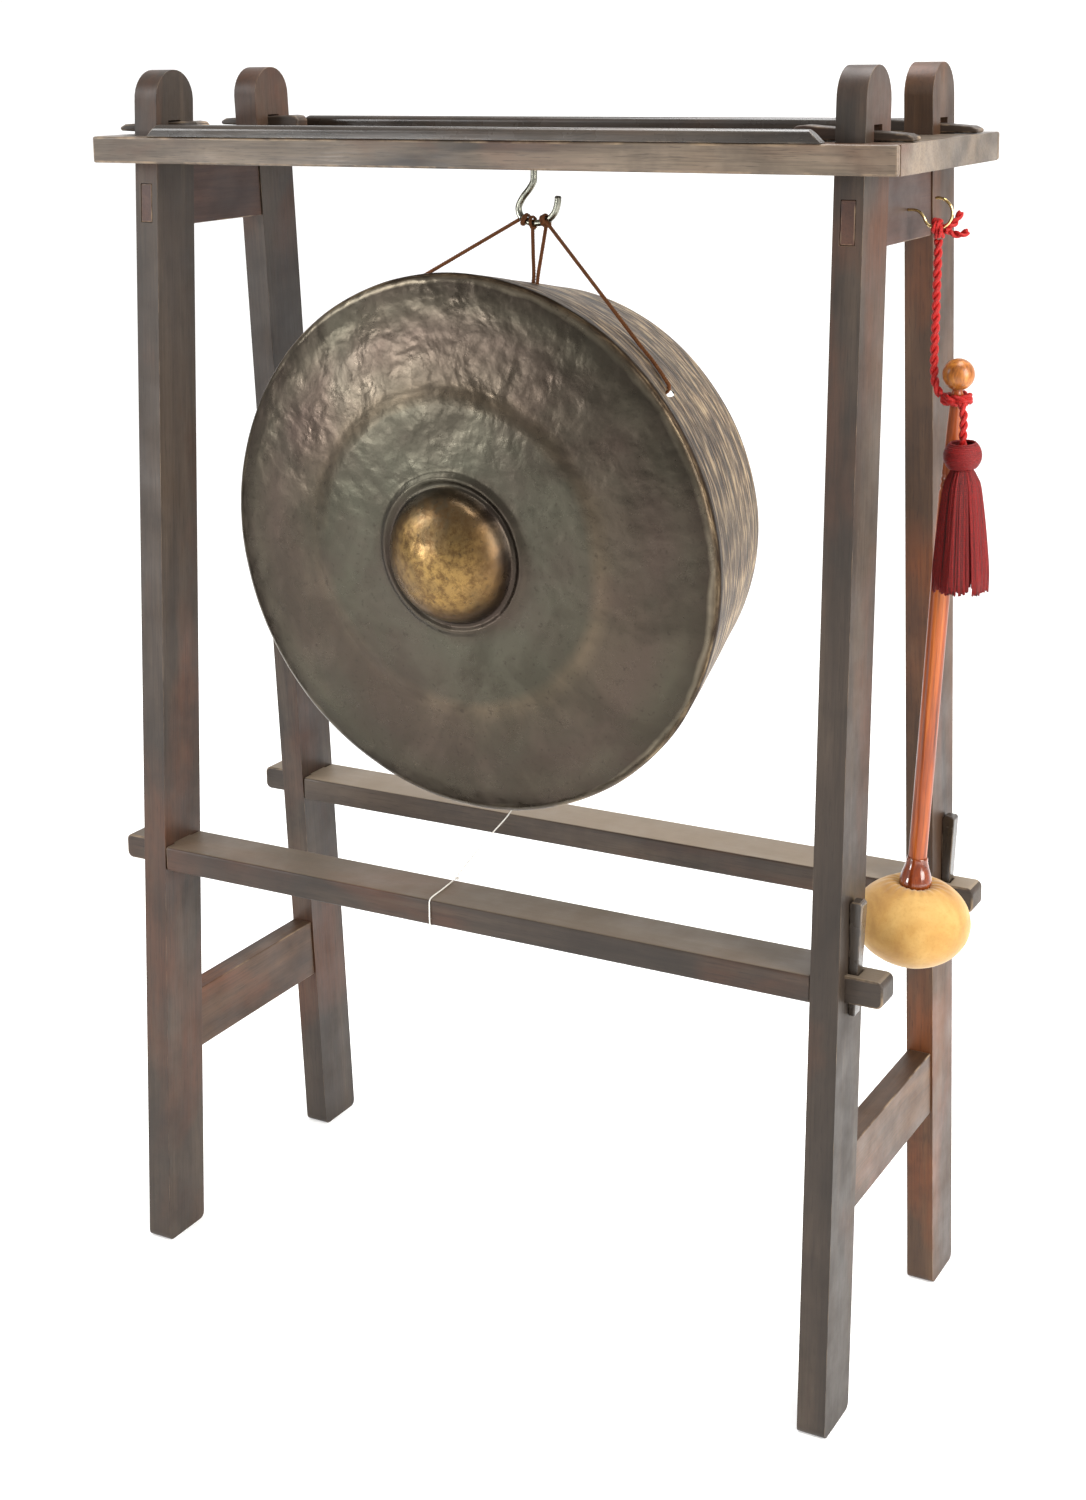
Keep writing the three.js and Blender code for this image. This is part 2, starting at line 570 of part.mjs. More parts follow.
// ---- mallet: built about its own axis from the middle of the head ----
const malletPlace = new THREE.Matrix4().makeRotationY(MALLET.lean)
  .setPosition(MALLET.x, MALLET.y, MALLET.z);
const spigot = 6;
const pin = { radius: 4.2, low: 449, high: 459 };
const handleProfile = [
  [0, 0], [spigot, 0], [spigot, 31], [7.6, 31.6], [7.8, 197], [8.1, 297], [7.8, 368], [6.8, 370],
  [7.4, 372.5], [6.5, 375], [7.2, 378], [6.3, 380.5], [7, 383], [6.5, 395], [5.6, 422],
  [NECK.radius, 437], [NECK.radius, pin.low - 1], [pin.radius, pin.low], [pin.radius, pin.high],
  [0, pin.high],
];
const knobProfile = [];
for (let i = 0; i <= 10; i += 1) {
  const turn = THREE.MathUtils.degToRad(157 - i * 15.7);
  knobProfile.push([KNOB.radius * Math.sin(turn), KNOB.z + KNOB.radius * Math.cos(turn)]);
}
knobProfile[10][0] = 0;
const headPoint = (turn, shrink) => {
  const r = (HEAD_RADIUS - shrink) * Math.cos(turn);
  const z = (HEAD_HALF_HEIGHT - shrink) * Math.sin(turn);
  return [r, z];
};
const headSteps = 10;
const mouthTurn = THREE.MathUtils.degToRad(62);
const coreTurn = THREE.MathUtils.degToRad(56);
function headArc(shrink, top) {
  return Array.from({ length: headSteps + 1 }, (_, i) =>
    headPoint(-Math.PI / 2 + (i / headSteps) * (top + Math.PI / 2), shrink));
}
const mouth = [[19.5, 33.8], [16.2, 33.6], [14.2, 32.4], [14.2, 29.6], [16, 30.2]];
const coverOutline = [
  ...headArc(0, mouthTurn), ...mouth, ...headArc(HEAD_SKIN, mouthTurn).reverse(),
];
coverOutline[0][0] = 0;
coverOutline[coverOutline.length - 1][0] = 0;
const coreShrink = HEAD_SKIN + 3 * GAP;
const coreProfile = headArc(coreShrink, coreTurn);
const coreTop = coreProfile[headSteps][1];
coreProfile[0][0] = 0;
coreProfile.push([0, coreTop]);
const collarProfile = [
  [8.2, 31.2], [12.9, 31.2], [13.6, 34.2], [13.4, 36.5], [12.4, 41], [10.2, 47.5], [8.9, 53],
  [8.6, 56.5], [8.2, 56.5],
];

function malletPiece(name, body, look) {
  const piece = mesh(name, body, look);
  piece.applyMatrix4(malletPlace);
  stand.add(piece);
}
malletPiece('mallet_handle', solid(turned(handleProfile, 20)), orangeWood());
const knobBall = solid(turned([[0, knobProfile[0][1]], ...knobProfile], 20));
malletPiece('mallet_knob', without(knobBall, [bore(pin.radius + GAP, pin.low - 12, pin.high + 2 * GAP)]),
  orangeWood());
malletPiece('mallet_collar', solid(turnedRing(collarProfile, 24)), lacquer());
malletPiece('mallet_head_cover', solid(turned(coverOutline, 24)), chamois());
malletPiece('mallet_head_core', without(solid(turned(coreProfile, 20)),
  [bore(spigot + GAP, -1, HEAD_HALF_HEIGHT)]), darkWood());

// ---- red cord: knot on the brass hook, hanging cord, wrap round the handle's neck ----
const redKnotZ = BRASS.z - BRASS.ringRadius;
const redHitch = turnedRing([
  [3, -5], [7.4, -5], [9, -2.6], [9, 2.6], [7.4, 5], [3, 5],
], 16).rotateY(Math.PI / 2).translate(BRASS.ringX + 1, BRASS.y, redKnotZ);
stand.add(mesh('red_hitch', solid(redHitch), redCord()));
const wrapPlace = new THREE.Vector3(0, 0, NECK.z).applyMatrix4(malletPlace);
const wrapOuter = NECK.radius + RED_CORD + 1.4;
malletPiece('neck_wrap', solid(turnedRing([
  [NECK.radius + 0.4, NECK.z - NECK.half], [wrapOuter - 2, NECK.z - NECK.half], [wrapOuter, NECK.z - 2],
  [wrapOuter, NECK.z + 2], [wrapOuter - 2, NECK.z + NECK.half], [NECK.radius + 0.4, NECK.z + NECK.half],
], 20)), redCord());
const hangTop = new THREE.Vector3(BRASS.ringX + 1, BRASS.y, redKnotZ - 9 - GAP);
const hangFoot = new THREE.Vector3(wrapPlace.x - wrapOuter - RED_CORD / 2 - GAP, MALLET.y, wrapPlace.z + 1);
stand.add(mesh('red_hanging_cord', solid(bar([
  hangTop, between(hangTop, hangFoot, 0.3), between(hangTop, hangFoot, 0.7), hangFoot,
], RED_CORD, 10, 10)), redCord()));
const tails = [
  [[10.4, 3, 2], [13.5, 7, 7], [16, 9, 12.5]],
  [[10.4, 4, -6], [17, 7.5, -5], [22, 9, -2.5]],
];
tails.forEach((tail, i) => {
  const points = tail.map(([x, y, z]) => new THREE.Vector3(BRASS.ringX + x, BRASS.y + y, redKnotZ + z));
  stand.add(mesh(`red_cord_end_${i + 1}`, solid(bar(points, RED_CORD - 1, 6, 10)), redCord()));
});

// ---- tassel on its own short cord, in front of the handle ----
const tasselTop = new THREE.Vector3(wrapPlace.x + 9.3, wrapPlace.y - 14.6, wrapPlace.z - 1);
const tasselFoot = new THREE.Vector3(TASSEL.x, TASSEL.y, TASSEL.top + 4 * GAP);
stand.add(mesh('tassel_cord', solid(bar([
  tasselTop, between(tasselTop, tasselFoot, 0.35).add(new THREE.Vector3(1.5, -1, 0)),
  between(tasselTop, tasselFoot, 0.7).add(new THREE.Vector3(0.8, -0.5, 0)), tasselFoot,
], TASSEL_CORD, 8, 10)), redCord()));
const tasselPiece = (profile) =>
  solid(turned(profile.map(([r, up]) => [r, TASSEL.neck + up]), 20).translate(TASSEL.x, TASSEL.y, 0));
const knotHeight = TASSEL.top - TASSEL.neck;
const skirtFoot = TASSEL.low - TASSEL.neck;
stand.add(mesh('tassel_knot', tasselPiece([
  [0, 0.3], [8.5, 0.3], [13, 4], [15, 9.5], [13.6, 15], [9.5, 19], [4, knotHeight], [0, knotHeight],
]), redCord()));
stand.add(mesh('tassel_skirt', tasselPiece([
  [0, skirtFoot], [22, skirtFoot], [22.4, skirtFoot + 14], [20, -57], [16.6, -28], [14, -12],
  [10, -4], [8, 0], [0, 0],
]), redCord()));

// ---- the origin goes under the middle of the box, mallet included ----
stand.position.x = -(MALLET.x + HEAD_RADIUS - TOP_HALF_LENGTH) / 2;
const model = new THREE.Group();
model.add(stand);

export default model;
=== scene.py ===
"""Looks for a bossed gong in its wooden trestle, with mallet and tassel. Metres, the CAD part's own frame."""

import json
import math
import random

import bmesh
import bpy
from mathutils import Matrix, Vector, noise

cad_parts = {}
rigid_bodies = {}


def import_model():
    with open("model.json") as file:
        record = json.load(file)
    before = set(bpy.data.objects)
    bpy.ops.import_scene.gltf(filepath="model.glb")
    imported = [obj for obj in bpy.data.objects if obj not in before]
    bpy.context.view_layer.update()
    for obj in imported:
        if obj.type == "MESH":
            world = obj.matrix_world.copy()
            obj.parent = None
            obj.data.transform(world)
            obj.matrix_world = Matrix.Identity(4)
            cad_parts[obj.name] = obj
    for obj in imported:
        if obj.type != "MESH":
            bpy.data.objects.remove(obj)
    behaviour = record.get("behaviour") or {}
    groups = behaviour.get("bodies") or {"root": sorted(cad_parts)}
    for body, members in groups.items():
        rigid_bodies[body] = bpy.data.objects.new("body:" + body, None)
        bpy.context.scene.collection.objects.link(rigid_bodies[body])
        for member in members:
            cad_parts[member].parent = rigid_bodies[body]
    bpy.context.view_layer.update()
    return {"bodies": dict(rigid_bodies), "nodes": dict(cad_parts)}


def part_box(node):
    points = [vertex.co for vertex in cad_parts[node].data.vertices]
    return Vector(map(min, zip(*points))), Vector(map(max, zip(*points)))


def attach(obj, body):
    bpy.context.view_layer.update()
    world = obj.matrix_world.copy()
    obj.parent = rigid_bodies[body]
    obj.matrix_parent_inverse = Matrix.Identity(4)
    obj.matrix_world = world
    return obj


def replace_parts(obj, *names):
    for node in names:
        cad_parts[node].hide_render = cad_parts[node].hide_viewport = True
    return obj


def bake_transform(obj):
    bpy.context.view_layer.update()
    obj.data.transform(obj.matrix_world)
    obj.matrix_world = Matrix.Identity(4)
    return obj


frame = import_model()

shelf_low, shelf_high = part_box("top_panel")
MIDDLE = (shelf_low.x + shelf_high.x) / 2


def at(x, y, z):
    """A point measured from the stand's own middle."""
    return Vector((MIDDLE + x, y, z))


# ---------------------------------------------------------------- camera and light

scene = bpy.context.scene
scene.view_settings.view_transform = "Standard"
scene.view_settings.look = "None"


def make_camera():
    data = bpy.data.cameras.new("camera")
    data.sensor_width = 36
    data.lens = 53.55
    data.shift_x = -0.0058
    data.shift_y = -0.1896
    data.clip_start = 0.05
    data.clip_end = 60
    camera = bpy.data.objects.new("camera", data)
    scene.collection.objects.link(camera)
    yaw, pitch, roll = math.radians(28.896), math.radians(-10.778), math.radians(-0.789)
    forward = Vector((-math.sin(yaw) * math.cos(pitch), math.cos(yaw) * math.cos(pitch), math.sin(pitch)))
    level = Vector((math.cos(yaw), math.sin(yaw), 0))
    above = level.cross(forward)
    right = level * math.cos(roll) + above * math.sin(roll)
    up = above * math.cos(roll) - level * math.sin(roll)
    turn = Matrix((right, up, -forward)).transposed().to_4x4()
    camera.matrix_world = Matrix.Translation(at(0.95047, -1.68839, 1.12071)) @ turn
    scene.camera = camera


def area_light(name, place, target, size, power, colour=(1, 1, 1)):
    data = bpy.data.lights.new(name, "AREA")
    data.shape = "RECTANGLE"
    data.size, data.size_y = size
    data.energy = power
    data.color = colour
    light = bpy.data.objects.new(name, data)
    light.location = place
    light.rotation_mode = "QUATERNION"
    light.rotation_quaternion = (Vector(target) - Vector(place)).to_track_quat("-Z", "Y")
    light.visible_camera = False
    scene.collection.objects.link(light)


def make_light():
    """A grey room with soft boxes. The gong's face mirrors the low one on the left."""
    world = bpy.data.worlds.new("studio")
    world.use_nodes = True
    world.node_tree.nodes["Background"].inputs["Color"].default_value = (1, 1, 1, 1)
    world.node_tree.nodes["Background"].inputs["Strength"].default_value = 0.55
    scene.world = world
    area_light("key", (-2.2, -1.7, 1.9), (0, 0, 0.75), (1.1, 1.1), 44)
    area_light("low_left", (-1.46, -2.02, 0.60), (-0.1, -0.1, 0.75), (0.5, 0.3), 15)
    area_light("right", (2.6, -0.6, 1.5), (0.1, 0, 0.6), (1.4, 2.0), 120, (1, 0.97, 0.92))
    area_light("top", (0.1, 0.3, 3.0), (0, 0, 0.8), (2.2, 1.4), 84)


make_camera()
make_light()

# ---------------------------------------------------------------- shader graphs


class Graph:
    """A material's node tree, built with short calls. Inputs are constants or sockets."""

    def __init__(self, name):
        self.material = bpy.data.materials.new(name)
        self.material.use_nodes = True
        self.tree = self.material.node_tree
        self.tree.nodes.clear()

    def add(self, kind, settings=None, **inputs):
        node = self.tree.nodes.new("ShaderNode" + kind)
        for key, value in (settings or {}).items():
            setattr(node, key, value)
        for key, value in inputs.items():
            self.put(node.inputs[key.replace("_", " ")], value)
        return node

    def put(self, socket, value):
        if isinstance(value, bpy.types.NodeSocket):
            self.tree.links.new(value, socket)
        elif hasattr(value, "__len__") and len(value) == 3 and socket.type == "RGBA":
            socket.default_value = (*value, 1)
        else:
            socket.default_value = value

    def attribute(self, name, output="Vector"):
        return self.add("Attribute", {"attribute_name": name}).outputs[output]

    def stretch(self, vector, scale, location=(0, 0, 0)):
        return self.add("Mapping", Vector=vector, Scale=scale, Location=location).outputs["Vector"]

    def noise(self, vector, scale=1.0, detail=3.0, roughness=0.5, distortion=0.0):
        node = self.add("TexNoise", Vector=vector, Scale=scale, Detail=detail,
                        Roughness=roughness, Distortion=distortion)
        return node.outputs["Fac"]

    def cells(self, vector, scale=1.0, smoothness=0.4, randomness=1.0):
        node = self.add("TexVoronoi", {"feature": "SMOOTH_F1"}, Vector=vector, Scale=scale,
                        Smoothness=smoothness, Randomness=randomness)
        return node.outputs["Distance"]

    def ramp(self, factor, stops, smooth=False):
        node = self.add("ValToRGB", Fac=factor)
        ramp = node.color_ramp
        ramp.interpolation = "EASE" if smooth else "LINEAR"
        while len(ramp.elements) < len(stops):
            ramp.elements.new(0.5)
        for element, (position, colour) in zip(ramp.elements, stops):
            element.position = position
            element.color = (*colour, 1) if hasattr(colour, "__len__") else (colour, colour, colour, 1)
        return node.outputs["Color"]

    def mix(self, factor, a, b, mode="MIX"):
        node = self.add("Mix", {"data_type": "RGBA", "blend_type": mode})
        self.put(node.inputs[0], factor)
        self.put(node.inputs[6], a)
        self.put(node.inputs[7], b)
        return node.outputs[2]

    def math(self, operation, a, b=0.0, clamp=False):
        node = self.add("Math", {"operation": operation, "use_clamp": clamp})
        self.put(node.inputs[0], a)
        self.put(node.inputs[1], b)
        return node.outputs[0]

    def bump(self, height, strength, distance, normal=None):
        node = self.add("Bump", Height=height, Strength=strength, Distance=distance)
        if normal is not None:
            self.put(node.inputs["Normal"], normal)
        return node.outputs["Normal"]

    def surface(self, **inputs):
        shader = self.add("BsdfPrincipled")
        for key, value in inputs.items():
            self.put(shader.inputs[key.replace("_", " ")], value)
        out = self.add("OutputMaterial")
        self.tree.links.new(shader.outputs[0], out.inputs["Surface"])
        return self.material


def srgb(red, green, blue):
    """A colour given as 0 to 255 in sRGB, made linear."""
    def linear(c):
        c /= 255
        return c / 12.92 if c <= 0.04045 else ((c + 0.055) / 1.055) ** 2.4
    return (linear(red), linear(green), linear(blue))


def wood(name, dark, middle, light, red, worn, gloss=0.5, coat=0.0, shift=0.0):
    """Old stained wood. The grain attribute runs along the board in its first component."""
    g = Graph(name)
    grain = g.attribute("grain")
    place = (shift, shift * 0.37, shift * 0.71)
    bands = g.noise(g.stretch(grain, (2.2, 17, 17), place), 1, 5, 0.55, 0.6)
    colour = g.ramp(bands, [(0.28, dark), (0.5, middle), (0.74, light)])
    blotch = g.noise(g.stretch(grain, (4.5, 9, 9), place), 1, 4, 0.55, 0.4)
    colour = g.mix(g.ramp(blotch, [(0.5, 0.0), (0.66, 0.8)]), colour, red)
    fibre = g.noise(g.stretch(grain, (14, 430, 430), place), 1, 4, 0.6)
    colour = g.mix(g.ramp(fibre, [(0.36, 0.32), (0.54, 0.0)]), colour, dark)
    pale = g.noise(g.stretch(grain, (5, 60, 60), place), 1, 4, 0.6)
    colour = g.mix(g.ramp(pale, [(0.56, 0.0), (0.72, 0.35)]), colour, light)
    pores = g.noise(g.stretch(grain, (60, 900, 900), place), 1, 2, 0.5)
    colour = g.mix(g.ramp(pores, [(0.3, 0.45), (0.4, 0.0)]), colour, dark)
    grime = g.noise(grain, 7, 5, 0.65)
    colour = g.mix(g.ramp(grime, [(0.34, 0.6), (0.52, 0.0)]), colour, dark)
    rubbed = g.math("MULTIPLY", g.attribute("wear", "Fac"),
                    g.ramp(g.noise(grain, 38, 4, 0.6), [(0.46, 0.0), (0.68, 0.62)]))
    colour = g.mix(rubbed, colour, worn)
    # Upward faces are mixed toward a pale tone: a painted highlight for the sheen the lights put on tops.
    colour = g.mix(g.attribute("top_sheen", "Fac"), colour, TOP_SHEEN_TONE)
    rough = g.ramp(g.noise(grain, 22, 4, 0.6), [(0.3, gloss - 0.1), (0.7, gloss + 0.12)])
    relief = g.bump(fibre, 0.25, 0.0004)
    relief = g.bump(g.noise(g.stretch(grain, (10, 34, 34)), 1, 3), 0.4, 0.0016, relief)
    return g.surface(Base_Color=colour, Roughness=rough, Normal=relief, Coat_Weight=coat,
                     Coat_Roughness=0.22, Specular_IOR_Level=0.3)


def metal(name, colour, stain, rough, grain_scale=90):
    """Plated metal with faint stains and fine scratches."""
    g = Graph(name)
    place = g.add("TexCoord").outputs["Object"]
    spots = g.noise(place, grain_scale, 5, 0.6)
    tone = g.mix(g.ramp(spots, [(0.45, 0.0), (0.75, 0.8)]), colour, stain)
    shine = g.ramp(g.noise(place, grain_scale * 4, 3, 0.6), [(0.3, rough * 0.8), (0.7, rough * 1.5)])
    relief = g.bump(g.noise(place, grain_scale * 7, 2), 0.08, 0.0003)
    return g.surface(Base_Color=tone, Metallic=1.0, Roughness=shine, Normal=relief)


def yarn(name, dark, light, threads=5, sheen=0.3, rough=0.75):
    """Twisted yarn. The yarn attribute is the way along the strand in metres, then the turn around it."""
    g = Graph(name)
    where = g.attribute("yarn")
    lines = g.add("TexWave", {"wave_type": "BANDS", "bands_direction": "DIAGONAL"},
                  Vector=g.stretch(where, (420, threads * 0.318, 0)), Scale=1.0, Distortion=2.5,
                  Detail=2.0).outputs["Fac"]
    fuzz = g.noise(g.add("TexCoord").outputs["Object"], 900, 3, 0.7)
    tone = g.mix(lines, dark, light)
    tone = g.mix(g.add("SeparateXYZ", Vector=where).outputs["Z"], tone, dark)
    tone = g.mix(g.ramp(fuzz, [(0.35, 0.55), (0.6, 0.0)]), tone, dark)
    relief = g.bump(lines, 0.5, 0.0004)
    relief = g.bump(fuzz, 0.4, 0.0003, relief)
    return g.surface(Base_Color=tone, Roughness=rough, Normal=relief, Sheen_Weight=sheen,
                     Sheen_Roughness=0.5, Sheen_Tint=(*light, 1), Specular_IOR_Level=0.3)


# ---------------------------------------------------------------- mesh helpers


def new_piece(name, verts, faces, body, material, smooth=True):
    data = bpy.data.meshes.new(name)
    data.from_pydata([tuple(v) for v in verts], [], faces)
    data.validate()
    if smooth:
        data.polygons.foreach_set("use_smooth", [True] * len(data.polygons))
    piece = bpy.data.objects.new(name, data)
    scene.collection.objects.link(piece)
    data.materials.append(material)
    if body:
        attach(piece, body)
    return piece


def set_layer(data, name, values):
    """Stores a number or a vector for each vertex."""
    if isinstance(values[0], (int, float)):
        data.attributes.new(name, "FLOAT", "POINT").data.foreach_set("value", values)
    else:
        layer = data.attributes.new(name, "FLOAT_VECTOR", "POINT")
        layer.data.foreach_set("vector", [c for triple in values for c in triple])


def applied(piece):
    """The piece's mesh with its modifiers made permanent."""
    bpy.context.view_layer.update()
    graph = bpy.context.evaluated_depsgraph_get()
    data = bpy.data.meshes.new_from_object(piece.evaluated_get(graph))
    piece.modifiers.clear()
    piece.data = data
    return piece


def along(points, step):
    """A smooth line through the points, in steps of about that length."""
    pts = [points[0] * 2 - points[1], *points, points[-1] * 2 - points[-2]]
    line = []
    for a, b, c, d in zip(pts, pts[1:], pts[2:], pts[3:]):
        count = max(1, round((c - b).length / step))
        knots = [0]
        for p, q in ((a, b), (b, c), (c, d)):
            knots.append(knots[-1] + max(1e-6, (q - p).length) ** 0.5)
        for i in range(count):
            t = knots[1] + (knots[2] - knots[1]) * i / count
            a1 = a.lerp(b, (t - knots[0]) / (knots[1] - knots[0]))
            a2 = b.lerp(c, (t - knots[1]) / (knots[2] - knots[1]))
            a3 = c.lerp(d, (t - knots[2]) / (knots[3] - knots[2]))
            b1 = a1.lerp(a2, (t - knots[0]) / (knots[2] - knots[0]))
            b2 = a2.lerp(a3, (t - knots[1]) / (knots[3] - knots[1]))
            line.append(b1.lerp(b2, (t - knots[1]) / (knots[2] - knots[1])))
    return [*line, points[-1].copy()]


def frames_of(line):
    """Two cross vectors at each point of a line, turning as little as possible along it."""
    tangents = [(b - a).normalized() for a, b in zip(line, line[1:])]
    tangents.append(tangents[-1])
    side = tangents[0].orthogonal().normalized()
    out = []
    for t in tangents:
        side = (side - t * side.dot(t)).normalized()
        out.append((side, t.cross(side)))
    return out


class Mesher:
    """Collects tubes and rings into one mesh, with the yarn attribute."""

    def __init__(self):
        self.verts, self.faces, self.yarn = [], [], []
        self.shade = 0.0

    def tube(self, line, radius, sides=8, closed=False):
        """radius is a number, or a function of the share of the way along."""
        size = radius if callable(radius) else (lambda share: radius)
        first = len(self.verts)
        count = len(line)
        run = 0.0
        for i, (point, (u, v)) in enumerate(zip(line, frames_of(line))):
            run += (point - line[i - 1]).length if i else 0
            r = size(i / (count - 1))
            for j in range(sides):
                turn = 2 * math.pi * j / sides
                self.verts.append(point + (u * math.cos(turn) + v * math.sin(turn)) * r)
                self.yarn.append((run, turn, self.shade))
        rings = count if closed else count - 1
        for i in range(rings):
            a, b = first + i * sides, first + (i + 1) % count * sides
            for j in range(sides):
                k = (j + 1) % sides
                self.faces.append((a + j, a + k, b + k, b + j))
        if not closed:
            self.faces.append(tuple(first + j for j in reversed(range(sides))))
            last = first + (count - 1) * sides
            self.faces.append(tuple(last + j for j in range(sides)))

    def rope(self, line, diameter, pitch, strands=3, sides=8, start=0.0):
        """Strands twisted round a line, inside that diameter."""
        strand = diameter * (0.27 if strands == 2 else 0.25)
        offset = diameter / 2 - strand
        crosses = frames_of(line)
        for s in range(strands):
            run, path = 0.0, []
            for i, (point, (u, v)) in enumerate(zip(line, crosses)):
                run += (point - line[i - 1]).length if i else 0
                turn = start + 2 * math.pi * (run / pitch + s / strands)
                path.append(point + (u * math.cos(turn) + v * math.sin(turn)) * offset)
            self.tube(path, strand, sides)

    def piece(self, name, body, material, slot):
        made = new_piece(name, self.verts, self.faces, body, material)
        set_layer(made.data, "yarn", self.yarn)
        return made


def lathe(profile, segments, matrix):
    """Verts and faces of a turned body about Z. Ends on the axis are closed with one vertex."""
    verts, faces, rings = [], [], []
    for r, z in profile:
        if r < 1e-7:
            rings.append([len(verts)])
            verts.append(Vector((0, 0, z)))
        else:
            rings.append(list(range(len(verts), len(verts) + segments)))
            for j in range(segments):
                turn = 2 * math.pi * j / segments
                verts.append(Vector((r * math.cos(turn), r * math.sin(turn), z)))
    for a, b in zip(rings, rings[1:]):
        for j in range(segments):
            k = (j + 1) % segments
            if len(a) == 1:
                faces.append((a[0], b[k], b[j]))
            elif len(b) == 1:
                faces.append((a[j], a[k], b[0]))
            else:
                faces.append((a[j], a[k], b[k], b[j]))
    return [matrix @ v for v in verts], faces


def rounded(profile, reach=0.0008):
    """A profile with each inner corner replaced by a short curve."""
    out = [profile[0]]
    for before, here, after in zip(profile, profile[1:], profile[2:]):
        p, q, r = Vector(before), Vector(here), Vector(after)
        back = min(reach, (p - q).length * 0.45)
        on = min(reach, (r - q).length * 0.45)
        a, b = q + (p - q).normalized() * back, q + (r - q).normalized() * on
        for t in (0, 0.33, 0.67, 1):
            out.append(tuple(a.lerp(q, t).lerp(q.lerp(b, t), t)))
    out.append(profile[-1])
    return out


# ---------------------------------------------------------------- wooden boards

DARK, MIDDLE_TONE, LIGHT = srgb(33, 27, 22), srgb(56, 46, 38), srgb(80, 67, 55)
# The third of these tones is a painted highlight laid on upward faces, for the sheen the lights put on tops;
# the other two are the wood's own.
REDDISH, WORN, TOP_SHEEN_TONE = srgb(78, 48, 32), srgb(150, 128, 102), srgb(150, 134, 114)


def board(node, grain_axis, material, arris=0.0016, seed=0, top_sheen=0.0):
    """A copy of a CAD board with softened, worn arrises, its own grain, and a pale tone painted on its upward
    faces as a highlight for the sheen the lights put there.
    """
    source = frame["nodes"][node].data
    shape = bmesh.new()
    shape.from_mesh(source)
    bmesh.ops.remove_doubles(shape, verts=shape.verts, dist=2e-6)
    bmesh.ops.dissolve_limit(shape, angle_limit=math.radians(1.5), verts=shape.verts, edges=shape.edges)
    wear = shape.faces.layers.float.new("wear")
    sharp = [e for e in shape.edges if len(e.link_faces) == 2 and e.calc_face_angle(0) > math.radians(28)]
    made = bmesh.ops.bevel(shape, geom=sharp, offset=arris, segments=3, profile=0.5, affect="EDGES",
                           clamp_overlap=True)
    for face in made["faces"]:
        face[wear] = 1.0
    data = bpy.data.meshes.new(node)
    shape.to_mesh(data)
    shape.free()
    piece = bpy.data.objects.new(node + "_wood", data)
    scene.collection.objects.link(piece)
    data.materials.clear()
    data.materials.append(material)
    data.polygons.foreach_set("use_smooth", [True] * len(data.polygons))
    data.set_sharp_from_angle(angle=math.radians(32))
    normals = piece.modifiers.new("normals", "WEIGHTED_NORMAL")
    normals.keep_sharp = True
    applied(piece)
    low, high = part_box(node)
    origin = (low + high) / 2
    u = Vector(grain_axis).normalized()
    v = u.orthogonal().normalized()
    w = u.cross(v)
    drift = Vector((seed * 1.7, seed * 0.61, seed * 0.43))
    coords = []
    for vertex in piece.data.vertices:
        d = vertex.co - origin
        coords.append((d.dot(u) + drift.x, d.dot(v) + drift.y, d.dot(w) + drift.z))
    set_layer(piece.data, "grain", coords)
    # Upward faces get a weight for that painted highlight; only the long rails use it.
    top_sheen_layer = piece.data.attributes.new("top_sheen", "FLOAT", "FACE")
    top_sheen_layer.data.foreach_set("value", [top_sheen if p.normal.z > 0.8 else 0.0 for p in piece.data.polygons])
    for body, empty in frame["bodies"].items():
        if frame["nodes"][node].parent is empty:
            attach(piece, body)
    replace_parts(piece, node)
    return piece


def make_boards():
    stained = wood("stained_wood", DARK, MIDDLE_TONE, LIGHT, REDDISH, WORN, 0.46)
    reddish = wood("apron_wood", srgb(40, 27, 23), srgb(68, 48, 41), srgb(97, 70, 60), REDDISH, WORN, 0.46)
    shelf = wood("shelf_wood", srgb(42, 35, 29), srgb(94, 82, 69), srgb(132, 116, 99), REDDISH, WORN,
                 0.38, 0.1, 3)
    varnish = wood("varnished_wood", srgb(28, 24, 20), srgb(48, 41, 35), srgb(74, 65, 56),
                   srgb(62, 45, 32), srgb(130, 112, 92), 0.24, 0.5, 7)
    warm = wood("warm_wood", srgb(38, 27, 20), srgb(68, 48, 33), srgb(98, 72, 50),
                srgb(104, 56, 26), WORN, 0.44, 0.0, 9)
    for seed, (name, lean) in enumerate((("front_left", 1), ("back_left", -1),
                                         ("front_right", 1), ("back_right", -1))):
        board(f"leg_{name}", (0, 0.054 * lean, 1), warm if name == "back_right" else stained, seed=seed + 1)
    board("top_panel", (1, 0, 0), shelf, seed=6)
    for seed, row in enumerate(("front", "back")):
        board(f"{row}_edging", (1, 0, 0), shelf, 0.002, seed + 8)
        board(f"{row}_ledge_strip", (1, 0, 0), varnish, 0.0006, seed + 10)
        # The long rails' tops get the painted highlight, stronger on the back rail.
        board(f"{row}_long_rail", (1, 0, 0), stained, 0.0018, seed + 12,
              0.62 if row == "back" else 0.32)
        board(f"{row}_tusk_wedge", (0, 0, 1), varnish, 0.001, seed + 14)
        for side in ("left", "right"):
            board(f"{row}_{side}_peg", (1, 0, 0), stained, 0.0016, seed + 16 + 2 * (side == "left"))
    for seed, side in enumerate(("left", "right")):
        board(f"{side}_apron", (0, 1, 0), reddish, 0.001, seed + 21)
        board(f"{side}_side_rail", (0, 1, 0), warm, 0.001, seed + 24)


make_boards()

# ---------------------------------------------------------------- metal hooks

ZINC = metal("zinc_plate", srgb(150, 150, 138), srgb(92, 92, 84), 0.22)
BRASS = metal("bright_brass", srgb(222, 198, 142), srgb(160, 126, 74), 0.14)
HOOK_X = 0.005


def hook_at(dx, z, y=0.0):
    return at(HOOK_X + dx, y, z)


